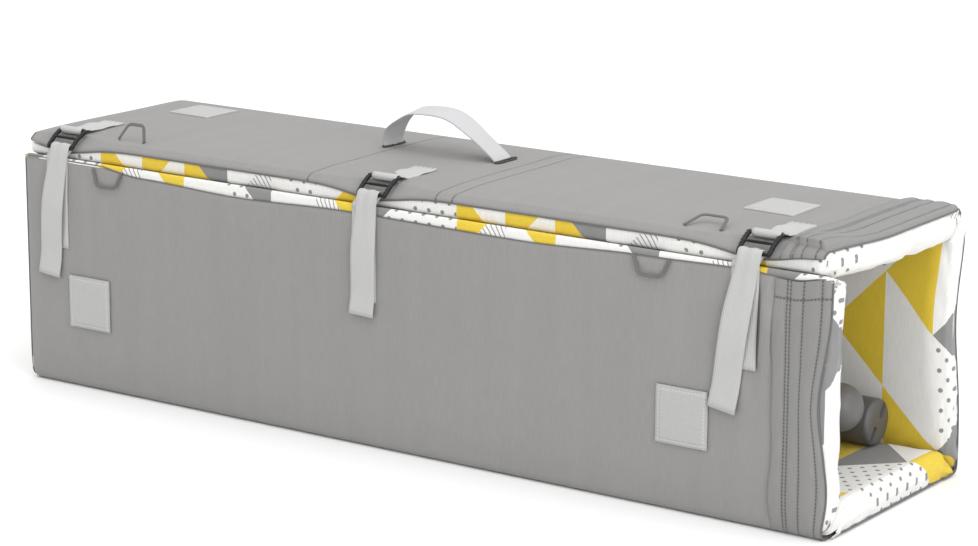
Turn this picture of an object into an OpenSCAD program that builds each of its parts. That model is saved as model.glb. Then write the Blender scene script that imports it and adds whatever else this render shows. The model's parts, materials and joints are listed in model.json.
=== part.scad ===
// Folding playpen, packed: the four-panel padded floor mat is wrapped round the folded frame
// and closed with three webbing straps. Millimetres.
// +X runs along the case towards its banded open end, -Y is the strapped front, +Z is up,
// and the origin is the centre of the underside.

/* [Case] */
// Length of the mat, and so of the case
mat_l = 1000; // [960:10:1040]
// Width of the bottom panel, over its two folds
case_w = 268; // [264:1:272]
// Height of the case over its panels
case_h = 274; // [272:1:278]
// Thickness of one padded panel
panel_t = 30; // [28:1:31]
// Thickness of the sewn cloth of the covers
cloth_t = 1.2; // [0.8:0.1:1.4]
// Thickness of the stiffening board in a panel
board_t = 3; // [2:0.5:5]
// How far a board stops short of the edges of its panel
board_inset = 16; // [12:1:24]
// Width of the sewn band at the open end
band_w = 60; // [40:1:66]

/* [Closing edge] */
// How far the top panel stops short of the front face
lid_setback = 10; // [8:1:12]
// Rise of the closing line from the inner to the outer side of the front panel
closing_rise = 12; // [10:1:14]
// Depth of the top panel's worn-down front edge
lid_edge_w = 18; // [16:1:20]
// Height of the top panel's worn-down front edge
lid_edge_h = 12; // [10:1:13]

/* [Straps] */
// Width of the strap webbing
webbing_w = 30; // [28:1:31]
// Thickness of the webbing
webbing_t = 1.4; // [1:0.1:1.4]
// Outer width of a buckle
buckle_w = 44; // [43:1:48]
// Length of a buckle from its tab bar to its front edge
buckle_l = 30; // [29:1:31]
// Slope of a buckle over the front edge, in degrees
buckle_slope = 34; // [33:1:35]

/* [Handle] */
// Distance between the two ends of the handle
handle_span = 146; // [140:1:150]
// Height of the handle's arch above the top panel
handle_rise = 46; // [42:1:50]
// Place of the handle's middle along the case
handle_x = -55; // [-60:1:-45]
// Place of the handle's middle across the case
handle_y = 40; // [30:1:50]

/* [Frame] */
// Outer diameter of a leg tube
leg_d = 28; // [25:1:30]
// Outer diameter of a top rail tube
rail_d = 22; // [20:1:23]
// Outer diameter of a base arm
arm_d = 18; // [16:1:20]
// Wall thickness of every tube
tube_wall = 1.5; // [1:0.25:2]
// Diameter of a foot
foot_d = 48; // [44:1:49]
// Distance from the middle of the case to the tip of the slotted feet
foot_end_x = 440; // [430:1:445]
// Length of the folded frame
frame_l = 785; // [760:5:790]

/* [Hidden] */
$fn = 64;
STRAPS = ["left", "middle", "right"];
PANELS = ["bottom", "front", "back", "top"];
PULLS = ["front_left", "front_right", "top_left", "top_right"];
BUTTONS = ["latch_button_1", "latch_button_2", "latch_button_3", "latch_button_4"];

// Gaps: at a fold line, along the closing edge, and between a webbing layer and what it lies on
fold_gap = 0.4;
closing_gap = 0.4;
lay_gap = 0.1;
half_w = case_w / 2;
half_l = mat_l / 2;
band_x = half_l - band_w;
closing_slope = closing_rise / panel_t;
front_inner_u = case_h - panel_t - closing_gap;
front_outer_u = front_inner_u + closing_rise;
front_cover_u = front_outer_u - 6;
lid_u = case_w - lid_setback;

// Where each strap crosses the closing edge, the lean of its tail in degrees, and the tail's length
strap_x = [-446, -31, 411];
strap_lean = [7, 3, 10];
tail_l = [136, 119, 148];
sewn_strap_end_z = 155;
tail_top_z = case_h - 16;
under_y = -half_w - lay_gap - webbing_t;
tail_y = under_y - lay_gap - webbing_t;
buckle_x = [-449, -29, 413];
tab_w = 32;
tab_l = 66;
tab_bar_r = 2.2;
side_bar_w = 4.8;
buckle_t = 4;
tab_y = -half_w + 26;
tab_z = case_h + 5;

patch_s = 57;
front_patch = [[-405, 98], [343, 97]];
top_patch = [[-417, 72], [362, 12]];

pull_t = 1.2;
pull_tape_w = 3.2;
pull_x = [-377, 306, -370, 344];
front_pull_z = front_cover_u - 2;
top_pull_y = -half_w + 30;

stub_t = 1.6;
stub_h = 16;
flop_z = case_h + 17;

leg_y = [76, 25.5, -25.5, -76];
leg_z = [57, 82, 57, 82];
foot_l = 92;
frame_x0 = foot_end_x - frame_l;
casting_l = 62;
casting_w = 42;
rail_z = [124, 150];
rail_end_x = 150;
latch_l = 74;
latch_w = 28;
arm_z = 187;
arm_x = [-190, 325];
pin_d = 6;
pin_inset = 12;
hub_x = -250;

// The outline of a panel: u runs from one fold, w from the outer face inwards
function fold_side() = [[fold_gap, 0], [fold_gap + panel_t, panel_t]];
function outline(p) =
    p == "front" ? concat(fold_side(), [[front_inner_u, panel_t], [front_outer_u, 0]]) :
    p == "top" ? concat(fold_side(), [
        [case_w - panel_t, panel_t],
        [lid_u, panel_t - closing_slope * (panel_t - lid_setback)],
        [lid_u, lid_edge_h],
        [lid_u - lid_edge_w, 0]]) :
    let (span = p == "back" ? case_h : case_w)
        concat(fold_side(), [[span - fold_gap - panel_t, panel_t], [span - fold_gap, 0]]);

// Turns a drawing in u and w into the place of the panel in the case, and runs it along X
module along_x(x0, x1) translate([x0, 0, 0]) rotate([90, 0, 90]) linear_extrude(x1 - x0) children();
module in_place(p) {
    if (p == "bottom") translate([-half_w, 0]) children();
    if (p == "front") translate([-half_w, 0]) mirror([1, -1]) children();
    if (p == "back") translate([half_w, 0]) mirror([1, 0]) mirror([1, -1]) children();
    if (p == "top") translate([half_w, case_h]) rotate(180) children();
}

module panel_2d(p) polygon(outline(p));
module strip_2d(w0, w1, u1 = 400) translate([-10, w0]) square([u1 + 10, w1 - w0]);

module cover_2d(p) {
    depth = p == "top" ? lid_edge_h : cloth_t;
    slide = p == "top" ? -cloth_t : 0;
    reach = p == "front" ? front_cover_u : 400;
    intersection() {
        difference() {
            panel_2d(p);
            translate([slide, cloth_t]) panel_2d(p);
        }
        strip_2d(0, depth, reach);
    }
}

module core_2d(p) {
    side = 1.5 * cloth_t;
    intersection() {
        translate([side, 0]) panel_2d(p);
        translate([-side, 0]) panel_2d(p);
        translate([p == "top" ? -cloth_t : 0, cloth_t]) panel_2d(p);
        strip_2d(cloth_t, panel_t - cloth_t);
    }
}

module panel_cover(p) color("#a3a29e") along_x(-half_l, band_x) in_place(p) cover_2d(p);

module panel_end_band(p) {
    raised = p == "bottom" ? 0 : 0.8;
    last_u = p == "top" ? lid_u - lid_edge_w : p == "front" ? front_cover_u : case_h;
    color("#9b9a96") union() {
        along_x(band_x, half_l) in_place(p) cover_2d(p);
        if (raised > 0) along_x(band_x, half_l - 1) in_place(p)
            translate([2, -raised]) square([last_u - 6, raised]);
    }
}

module panel_lining(p) color("#f0efec") difference() {
    along_x(-half_l, half_l) in_place(p) panel_2d(p);
    along_x(-half_l - 1, half_l + 1) in_place(p) cover_2d(p);
    along_x(-half_l + cloth_t, half_l - cloth_t) in_place(p) core_2d(p);
}

// The board lies in the middle of its panel, clear of the folds and the edges
module panel_board(p) color("#8a6f4d") along_x(-half_l + board_inset, half_l - board_inset) in_place(p)
    intersection() {
        core_2d(p);
        translate([board_inset, 0]) square([lid_u - lid_edge_w - 2 * board_inset, cloth_t + board_t]);
    }

module panel_foam(p) color("#f6f3e4") along_x(-half_l + cloth_t, half_l - cloth_t) in_place(p)
    intersection() {
        core_2d(p);
        strip_2d(cloth_t + board_t, panel_t);
    }

// The strap's lower layer, sewn down to the front panel
module sewn_strap(i) color("#cdcecc")
    translate([strap_x[i] - webbing_w / 2 - 3, under_y, sewn_strap_end_z])
        cube([webbing_w, webbing_t, tail_top_z - sewn_strap_end_z - 4]);

// The turn of the strap round the buckle's front bar, which slips out when the strap is undone
module strap_loop(i) {
    top = buckle_point(buckle_l - 3);
    loop_r = tab_bar_r + 1;
    color("#cdcecc") translate([strap_x[i], 0, 0]) along_x(-webbing_w / 2 + 1, webbing_w / 2 - 1) union() {
        difference() {
            translate(top) circle(r = loop_r + webbing_t);
            translate(top) circle(r = loop_r);
            translate([top[0] - 20, top[1] - 20]) square([40, 20]);
        }
        polygon([
            [top[0] - loop_r - webbing_t, top[1]], [top[0] - loop_r, top[1]],
            [tail_y + webbing_t, tail_top_z + 0.2], [tail_y, tail_top_z + 0.2]]);
        polygon([
            [top[0] + loop_r, top[1]], [top[0] + loop_r + webbing_t, top[1]],
            [under_y + webbing_t, tail_top_z - 1], [under_y + webbing_t, tail_top_z - 4],
            [under_y, tail_top_z - 4]]);
    }
}

// The loose end of the strap, hanging down the front
module strap_tail(i) color("#d2d3d1") translate([strap_x[i], tail_y, tail_top_z]) intersection() {
    rotate([0, strap_lean[i], 0]) translate([-webbing_w / 2, 0, -tail_l[i]])
        cube([webbing_w, webbing_t, tail_l[i] + 6]);
    translate([-200, -1, -200]) cube([400, webbing_t + 2, 200]);
}

// A point in Y and Z along the middle of a buckle, measured from its tab bar
function buckle_point(d) = [tab_y - d * cos(buckle_slope), tab_z - d * sin(buckle_slope)];

module cross_bar(d, r, w) {
    p = buckle_point(d);
    translate([-w / 2, p[0], p[1]]) rotate([0, 90, 0]) cylinder(h = w, r = r);
}

module side_bar() translate([0, tab_y, tab_z]) rotate([buckle_slope, 0, 0])
    translate([-side_bar_w / 2, -buckle_l, -buckle_t / 2]) cube([side_bar_w, buckle_l + 3, buckle_t]);

module buckle(i) color("#1c1c1e") translate([buckle_x[i], 0, 0]) union() {
    for (side = [-1, 1]) translate([side * (buckle_w - side_bar_w) / 2, 0, 0]) side_bar();
    cross_bar(0, tab_bar_r, buckle_w - side_bar_w);
    cross_bar(buckle_l / 2, 1.8, buckle_w - side_bar_w);
    cross_bar(buckle_l - 3, tab_bar_r, buckle_w - side_bar_w);
}

// A buckle's tab: webbing sewn to the top panel, turned round the buckle's bar, with a pinked end
module buckle_tab(i) {
    teeth = 6;
    tooth = tab_w / teeth;
    loop_r = tab_bar_r + 0.5;
    flat_y = tab_y + 3;
    color("#d6d7d5") translate([buckle_x[i] + (i == 0 ? -2 : 2), 0, 0]) union() {
        translate([-tab_w / 2, 0, case_h + lay_gap]) linear_extrude(webbing_t) polygon(concat(
            [[0, flat_y], [tab_w, flat_y]],
            [for (k = [teeth:-1:0]) each [
                [k * tooth, flat_y + tab_l],
                if (k > 0) [(k - 0.5) * tooth, flat_y + tab_l - 3]]]));
        along_x(-tab_w / 2 + 1, tab_w / 2 - 1) difference() {
            union() {
                translate([tab_y, tab_z]) circle(r = loop_r + webbing_t);
                translate([tab_y - 0.5, case_h + lay_gap]) square([5, tab_z - case_h - 2]);
            }
            translate([tab_y, tab_z]) circle(r = loop_r);
        }
    }
}

module front_patches() color("#c8cac6") for (c = front_patch)
    translate([c[0] - patch_s / 2, -half_w - lay_gap - 1.2, c[1] - patch_s / 2])
        cube([patch_s, 1.2, patch_s]);

module top_patches() color("#cdcfcb") for (c = top_patch)
    translate([c[0] - patch_s / 2, c[1] - patch_s / 2, case_h + lay_gap])
        cube([patch_s, patch_s, 1.2]);

// A pull: a narrow tape sewn at both ends, narrower at its tip, lying flat
module pull_2d(base_w, tip_w, reach) difference() {
    polygon([[-base_w / 2, 0], [base_w / 2, 0], [tip_w / 2, reach], [-tip_w / 2, reach]]);
    translate([0, -pull_tape_w]) polygon([
        [-base_w / 2 + pull_tape_w, 0], [base_w / 2 - pull_tape_w, 0],
        [tip_w / 2 - pull_tape_w, reach], [-tip_w / 2 + pull_tape_w, reach]]);
}

module front_pull(i) color("#8d8c88") translate([pull_x[i], -half_w - lay_gap, front_pull_z])
    rotate([90, 0, 0]) linear_extrude(pull_t) mirror([0, 1]) pull_2d(40, 26, 18);

module top_pull(i) color("#8d8c88") translate([pull_x[i], top_pull_y, case_h + lay_gap])
    linear_extrude(pull_t) pull_2d(42, 30, 36);

// The height of the handle's arch at a share s, from -1 to 1, of its half span
function arch(s) = handle_rise * pow(1 - pow(abs(s), 2.6), 1 / 2.2);

module handle_grip() {
    steps = 36;
    half = handle_span / 2 - stub_t - 0.8;
    limit = 0.985;
    shares = [for (k = [0:steps]) limit * sin(-90 + 180 * k / steps)];
    outer = [for (s = shares) [half * s, case_h + 1 + arch(s)]];
    inner = [for (k = [steps:-1:0]) [(half - 1.8) * shares[k], case_h - 0.8 + arch(shares[k])]];
    color("#dcdde0") translate([handle_x, handle_y + webbing_w / 2, 0]) rotate([90, 0, 0])
        linear_extrude(webbing_w) intersection() {
            polygon(concat(outer, inner));
            translate([-handle_span, flop_z - 2]) square([2 * handle_span, 100]);
        }
}

module handle_ends() color("#dcdde0") for (side = [-1, 1])
    translate([handle_x + side * (handle_span - stub_t) / 2 - stub_t / 2,
        handle_y - webbing_w / 2, case_h + lay_gap])
        cube([stub_t, webbing_w, stub_h]);

module slot_2d(l, w) union() {
    square([w, l - w], center = true);
    for (side = [-1, 1]) translate([0, side * (l - w) / 2]) circle(d = w);
}

module handle_slot_trims() color("#26262a") for (side = [-1, 1])
    translate([handle_x + side * (handle_span - stub_t) / 2, handle_y, case_h + lay_gap])
        linear_extrude(0.9) difference() {
            slot_2d(webbing_w + 16, 10);
            slot_2d(webbing_w + 6, 4);
        }

module tube(d, x0, x1) translate([x0, 0, 0]) rotate([0, 90, 0]) difference() {
    cylinder(h = x1 - x0, d = d);
    translate([0, 0, -1]) cylinder(h = x1 - x0 + 2, d = d - 2 * tube_wall);
}

module rod(d, x0, x1) translate([x0, 0, 0]) rotate([0, 90, 0]) cylinder(h = x1 - x0, d = d);

leg_x = [frame_x0 + 8, foot_end_x - foot_l + 30];

module leg_tubes() color("#6f7072") for (i = [0:3]) translate([0, leg_y[i], leg_z[i]]) tube(leg_d, leg_x[0], leg_x[1]);

// A foot holds the end of its leg in a blind socket, with two screw slots in its end face
module slotted_foot() difference() {
    rod(foot_d, foot_end_x - foot_l, foot_end_x);
    rod(leg_d, foot_end_x - foot_l - 1, leg_x[1]);
    for (side = [-1, 1]) translate([foot_end_x, side * 9, side * 11]) rotate([-35, 0, 0])
        cube([20, 5, 14], center = true);
}

module slotted_feet() color("#5e5f61") for (i = [0, 2]) translate([0, leg_y[i], leg_z[i]]) slotted_foot();

module domed_feet() {
    dome_x = foot_end_x - 16;
    color("#77787a") for (i = [1, 3]) translate([0, leg_y[i], leg_z[i]]) difference() {
        union() {
            rod(foot_d, foot_end_x - foot_l, dome_x);
            intersection() {
                translate([dome_x, 0, 0]) sphere(d = foot_d);
                rod(foot_d, dome_x - 1, dome_x + foot_d);
            }
        }
        rod(leg_d, foot_end_x - foot_l - 1, leg_x[1]);
    }
}

// Pins that the folded rails turn on, in the latches and in the corner castings
module pins(d) for (y = leg_y) for (z = rail_z)
    for (x = [rail_end_x + pin_inset, frame_x0 + casting_l - pin_inset])
        translate([x, y, z]) rotate([90, 0, 0]) cylinder(h = latch_w + 2, d = d, center = true);

module hinge_pins() color("#b9babc") pins(pin_d);

module corner_castings() color("#77787a") difference() {
    for (i = [0:3]) translate([frame_x0, leg_y[i] - casting_w / 2, leg_z[i] - 21])
        cube([casting_l, casting_w, rail_z[1] + 15 - leg_z[i] + 21]);
    for (i = [0:3]) translate([0, leg_y[i], leg_z[i]]) rod(leg_d, leg_x[0], frame_x0 + casting_l + 1);
    for (y = leg_y) for (z = rail_z)
        translate([0, y, z]) rod(rail_d, frame_x0 + casting_l - 26, frame_x0 + casting_l + 1);
    pins(pin_d);
}

module rail_tubes() color("#6f7072") difference() {
    for (y = leg_y) for (z = rail_z)
        translate([0, y, z]) tube(rail_d, frame_x0 + casting_l - 26, rail_end_x + 26);
    pins(pin_d);
}

// A latch joins the two halves of one top rail, folded side by side
module rail_latches() color("#5e5f61") difference() {
    for (y = leg_y) translate([rail_end_x, y - latch_w / 2, rail_z[0] - 14])
        cube([latch_l, latch_w, rail_z[1] - rail_z[0] + 28]);
    for (y = leg_y) for (z = rail_z) translate([0, y, z]) rod(rail_d, rail_end_x - 1, rail_end_x + 26);
    pins(pin_d);
    for (y = leg_y) translate([rail_end_x + latch_l - 18, y, rail_z[1] + 4]) cylinder(h = 30, d = 14.4);
}

module latch_button(i) color("#c23b2e") translate([rail_end_x + latch_l - 18, leg_y[i], rail_z[1] + 8.5]) union() {
    cylinder(h = 8, d = 14);
    intersection() {
        translate([0, 0, 8 - 12]) sphere(r = 14);
        translate([0, 0, 7]) cylinder(h = 5, d = 14);
    }
}

module arm_brackets() color("#5e5f61") difference() {
    for (i = [0:3]) translate([arm_x[1] - 30, leg_y[i] - 12, leg_z[i]]) cube([22, 24, arm_z + 11 - leg_z[i]]);
    for (i = [0:3]) translate([0, leg_y[i], leg_z[i]]) rod(leg_d, arm_x[1] - 40, arm_x[1] + 40);
    for (y = leg_y) translate([0, y, arm_z]) rod(arm_d, arm_x[1] - 40, arm_x[1] + 40);
}

module base_arms() color("#6f7072") for (y = leg_y) translate([0, y, arm_z]) tube(arm_d, arm_x[0], arm_x[1]);

module centre_hub() color("#5e5f61") difference() {
    translate([hub_x, 0, arm_z]) rotate([90, 0, 90]) linear_extrude(80) rounded_2d(188, 26, 8);
    for (y = leg_y) translate([0, y, arm_z]) rod(arm_d, arm_x[0], hub_x + 100);
}

module rounded_2d(w, h, r) union() {
    square([w - 2 * r, h], center = true);
    square([w, h - 2 * r], center = true);
    for (sx = [-1, 1]) for (sy = [-1, 1]) translate([sx * (w / 2 - r), sy * (h / 2 - r)]) circle(r = r);
}

// The netting of the four sides, folded flat on top of the bundle of tubes
module net_bundle() color("#b8b8b4") translate([frame_x0 + 6, 0, 221]) rotate([90, 0, 90])
    linear_extrude(frame_l - 90) rounded_2d(192, 38, 17);

for (p = PANELS) {
    panel_cover(p);
    panel_lining(p);
    panel_board(p);
    panel_foam(p);
    panel_end_band(p);
}
for (i = [0:2]) {
    sewn_strap(i);
    strap_loop(i);
    strap_tail(i);
    buckle(i);
    buckle_tab(i);
}
front_patches();
top_patches();
for (i = [0:1]) {
    front_pull(i);
    top_pull(i + 2);
}
handle_grip();
handle_ends();
handle_slot_trims();
leg_tubes();
slotted_feet();
domed_feet();
corner_castings();
rail_tubes();
rail_latches();
for (i = [0:3]) {
    latch_button(i);
}
hinge_pins();
arm_brackets();
base_arms();
centre_hub();
net_bundle();
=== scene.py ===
import json
import math

import bpy
import bmesh
import numpy as np
from mathutils import Matrix, Vector, noise


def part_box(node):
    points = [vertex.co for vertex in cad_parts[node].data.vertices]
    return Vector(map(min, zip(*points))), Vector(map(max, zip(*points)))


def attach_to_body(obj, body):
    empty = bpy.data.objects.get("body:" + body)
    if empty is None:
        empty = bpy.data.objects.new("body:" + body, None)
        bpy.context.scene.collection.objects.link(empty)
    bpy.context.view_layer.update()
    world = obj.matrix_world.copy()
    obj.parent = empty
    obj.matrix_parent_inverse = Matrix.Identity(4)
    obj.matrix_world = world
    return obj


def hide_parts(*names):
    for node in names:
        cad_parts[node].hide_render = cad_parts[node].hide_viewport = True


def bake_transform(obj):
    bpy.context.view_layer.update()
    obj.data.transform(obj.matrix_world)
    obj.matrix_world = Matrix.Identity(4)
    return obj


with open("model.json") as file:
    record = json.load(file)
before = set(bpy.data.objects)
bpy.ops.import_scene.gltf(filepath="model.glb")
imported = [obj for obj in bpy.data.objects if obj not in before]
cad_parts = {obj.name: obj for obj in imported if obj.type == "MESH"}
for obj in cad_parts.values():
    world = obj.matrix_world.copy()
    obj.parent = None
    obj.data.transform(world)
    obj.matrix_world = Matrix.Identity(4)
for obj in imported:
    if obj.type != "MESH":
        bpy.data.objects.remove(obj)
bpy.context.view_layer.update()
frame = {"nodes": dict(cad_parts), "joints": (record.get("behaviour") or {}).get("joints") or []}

JOINT = {j["name"]: j for j in frame["joints"]}
SIDES = ("left", "middle", "right")
PANELS = ("bottom", "front", "back", "top")

# ---------------------------------------------------------------- sizes from the frame
HALF_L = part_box("bottom_lining")[1].x
HALF_W = JOINT["back_fold"]["pos_m"][1]
HEIGHT = JOINT["top_fold"]["pos_m"][2]
PAD_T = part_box("bottom_lining")[1].z
BAND_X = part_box("front_end_band")[0].x
LID_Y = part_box("top_lining")[0].y
LID_U = HALF_W - LID_Y
FRONT_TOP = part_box("front_lining")[1].z
FRONT_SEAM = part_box("front_cover")[1].z
FOLD_GAP = 0.0004
CLOTH_T = 0.0012
FOLD_R = 0.012
END_R = 0.008
TUCK = 0.030
STRAP_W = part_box("left_sewn_strap")[1].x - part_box("left_sewn_strap")[0].x
STRAP_T = 0.0014
PATCH_SIZE = 0.057
PATCH_HEM = 0.0035
FOOT_R = 0.024
FOOT_BORE_R = 0.0148
ALONG_X = Vector((1, 0, 0))


def middle(node):
    low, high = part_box(node)
    return (low + high) / 2


STRAP_X = {s: middle(s + "_strap_loop").x for s in SIDES}
BUCKLE_X = {s: middle(s + "_buckle").x for s in SIDES}
TOP_PULL_X = (middle("top_left_pull").x, middle("top_right_pull").x)


def add_object(name, data):
    """An object put in the scene."""
    item = bpy.data.objects.new(name, data)
    bpy.context.scene.collection.objects.link(item)
    return item


# ---------------------------------------------------------------- camera
CAMERA_AT = Vector((1.810, -2.555, 0.917))
CAMERA_TURN = math.radians(34.95)
CAMERA_TILT = math.radians(13.556)
CAMERA_ROLL = math.radians(0.154)
CAMERA_LENS = 114.2


def make_camera():
    """The camera, from where it stands, its turn, tilt and roll."""
    right = Vector((math.cos(CAMERA_TURN), math.sin(CAMERA_TURN), 0))
    back = Vector((math.sin(CAMERA_TURN) * math.cos(CAMERA_TILT),
                   -math.cos(CAMERA_TURN) * math.cos(CAMERA_TILT), math.sin(CAMERA_TILT)))
    up = back.cross(right)
    turn = Matrix((right, up, back)).transposed() @ Matrix.Rotation(CAMERA_ROLL, 3, "Z")
    data = bpy.data.cameras.new("camera")
    data.lens = CAMERA_LENS
    data.clip_end = 50
    camera = add_object("camera", data)
    camera.matrix_world = Matrix.Translation(CAMERA_AT) @ turn.to_4x4()
    bpy.context.scene.camera = camera


make_camera()


# ---------------------------------------------------------------- node helpers
class Net:
    """Short calls for building a node tree."""

    def __init__(self, tree):
        self.tree = tree

    def new(self, kind, inputs=(), **settings):
        node = self.tree.nodes.new(kind)
        for key, value in settings.items():
            setattr(node, key, value)
        for key, value in dict(inputs).items():
            self.put(node.inputs[key], value)
        return node

    def put(self, socket, value):
        if isinstance(value, bpy.types.NodeSocket):
            self.tree.links.new(value, socket)
        elif value is not None:
            socket.default_value = value

    def math(self, operation, a, b=None):
        node = self.new("ShaderNodeMath", operation=operation)
        self.put(node.inputs[0], a)
        self.put(node.inputs[1], b)
        return node.outputs[0]

    def plus(self, a, b):
        return self.math("ADD", a, b)

    def minus(self, a, b):
        return self.math("SUBTRACT", a, b)

    def times(self, a, b):
        return self.math("MULTIPLY", a, b)

    def wave(self, value):
        """Rounded backs side by side, one for each pi."""
        return self.math("ABSOLUTE", self.math("SINE", value))

    def reach(self, a, b):
        """The length of (a, b)."""
        return self.math("SQRT", self.plus(self.times(a, a), self.times(b, b)))

    def vector(self, operation, a, b=None):
        node = self.new("ShaderNodeVectorMath", operation=operation)
        self.put(node.inputs[0], a)
        self.put(node.inputs[1], b)
        return node.outputs[0]

    def scaled(self, vector, factor):
        node = self.new("ShaderNodeVectorMath", operation="SCALE")
        self.put(node.inputs[0], vector)
        self.put(node.inputs["Scale"], factor)
        return node.outputs[0]

    def split(self, vector):
        return self.new("ShaderNodeSeparateXYZ", {"Vector": vector}).outputs

    def join(self, x, y, z=0.0):
        return self.new("ShaderNodeCombineXYZ", {"X": x, "Y": y, "Z": z}).outputs[0]

    def noise(self, vector, scale, detail=2.0, rough=0.5):
        node = self.new("ShaderNodeTexNoise", {"Vector": vector, "Scale": scale, "Detail": detail,
                                               "Roughness": rough})
        return node.outputs["Fac"]

    def mix(self, factor, a, b, blend="MIX"):
        node = self.new("ShaderNodeMix", data_type="RGBA", blend_type=blend)
        self.put(node.inputs[0], factor)
        self.put(node.inputs[6], a)
        self.put(node.inputs[7], b)
        return node.outputs[2]

    def span(self, value, low, high, to_low=0.0, to_high=1.0):
        node = self.new("ShaderNodeMapRange", {"Value": value, "From Min": low, "From Max": high,
                                               "To Min": to_low, "To Max": to_high})
        return node.outputs[0]

    def ramp(self, value, stops):
        node = self.new("ShaderNodeValToRGB", {"Fac": value})
        ramp = node.color_ramp
        ramp.interpolation = "CONSTANT"
        while len(ramp.elements) < len(stops):
            ramp.elements.new(1.0)
        for element, (place, colour) in zip(ramp.elements, stops):
            element.position = place
            element.color = (*colour, 1)
        return node.outputs[0]

    def effect(self, name, **inputs):
        node = self.new("ShaderNodeGroup", node_tree=EFFECTS[name])
        for key, value in inputs.items():
            self.put(node.inputs[key.replace("_", " ")], value)
        return node.outputs


EFFECTS = {}
SOCKET_KINDS = {"v": "NodeSocketVector", "f": "NodeSocketFloat", "c": "NodeSocketColor"}


def make_effect(name, inputs, outputs, build):
    """A shader node group: build(net, inputs) gives its outputs by name."""
    tree = bpy.data.node_groups.new(name, "ShaderNodeTree")
    for label, kind in inputs.items():
        tree.interface.new_socket(label, in_out="INPUT", socket_type=SOCKET_KINDS[kind])
    for label, kind in outputs.items():
        tree.interface.new_socket(label, in_out="OUTPUT", socket_type=SOCKET_KINDS[kind])
    net = Net(tree)
    source = net.new("NodeGroupInput")
    target = net.new("NodeGroupOutput")
    for label, value in build(net, source.outputs).items():
        net.put(target.inputs[label], value)
    EFFECTS[name] = tree


# ---------------------------------------------------------------- shared effects
def build_weave(net, given):
    """A plain weave: warp and weft threads that pass over each other in turn."""
    threads = net.split(net.scaled(given["Cloth"], given["Threads per metre"]))
    warp = net.wave(net.times(threads[0], math.pi))
    weft = net.wave(net.times(threads[1], math.pi))
    crossing = net.plus(net.math("FLOOR", threads[0]), net.math("FLOOR", threads[1]))
    over = net.math("GREATER_THAN", net.math("ABSOLUTE", net.math("MODULO", crossing, 2.0)), 0.5)
    height = net.plus(net.times(warp, over), net.times(weft, net.minus(1.0, over)))
    slub = net.noise(net.vector("MULTIPLY", given["Cloth"], (900.0, 60.0, 1.0)), 1.0, 2.0)
    # Painted shade: the tone is darker where the threads dip under each other, with random slubs added.
    tone = net.plus(net.span(height, 0.0, 1.0, 0.90, 1.04), net.span(slub, 0.3, 0.7, -0.05, 0.05))
    return {"Height": height, "Tone": tone}


def build_mottle(net, given):
    """Slow variation of tone, as on cloth that has been folded and handled."""
    broad = net.noise(given["Place"], given["Size"], 3.0, 0.6)
    fine = net.noise(given["Place"], net.times(given["Size"], 6.0), 2.0, 0.6)
    both = net.plus(net.times(broad, 0.7), net.times(fine, 0.3))
    amount = net.times(net.minus(both, 0.5), given["Amount"])
    return {"Tone": net.plus(amount, 1.0)}


def build_stitches(net, given):
    """A row of thread dashes at Centre, measured across the row, and its furrow, used for bumps and for
    painted shade.
    """
    off = net.math("ABSOLUTE", net.minus(given["Across"], given["Centre"]))
    inside = net.math("LESS_THAN", off, 0.0007)
    dash = net.math("LESS_THAN", net.math("FRACT", net.math("DIVIDE", given["Along"], 0.0036)), 0.62)
    furrow = net.span(off, 0.0, 0.0022, 1.0, 0.0)
    return {"Thread": net.times(inside, dash), "Furrow": furrow}


# One repeat of the print, four diamonds by four. Each diamond is a left and a right half:
# w white, y yellow, g grey, d dots, a arcs
PRINT_REPEAT = ("wd gw aw yw", "gw wa dw yw", "dy yg dd wd", "wy wy dy aw")
PRINT_HALF = 0.0585
PRINT_START = (0.430, 2 * HALF_W + 0.088)
DOT_ACROSS = 0.0083
DOT_ALONG = 0.020
ARC_STEP = 0.0048
INK_WHITE = (0.77, 0.765, 0.745)
INK_YELLOW = (0.72, 0.52, 0.032)
INK_GREY = (0.225, 0.225, 0.225)


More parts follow.
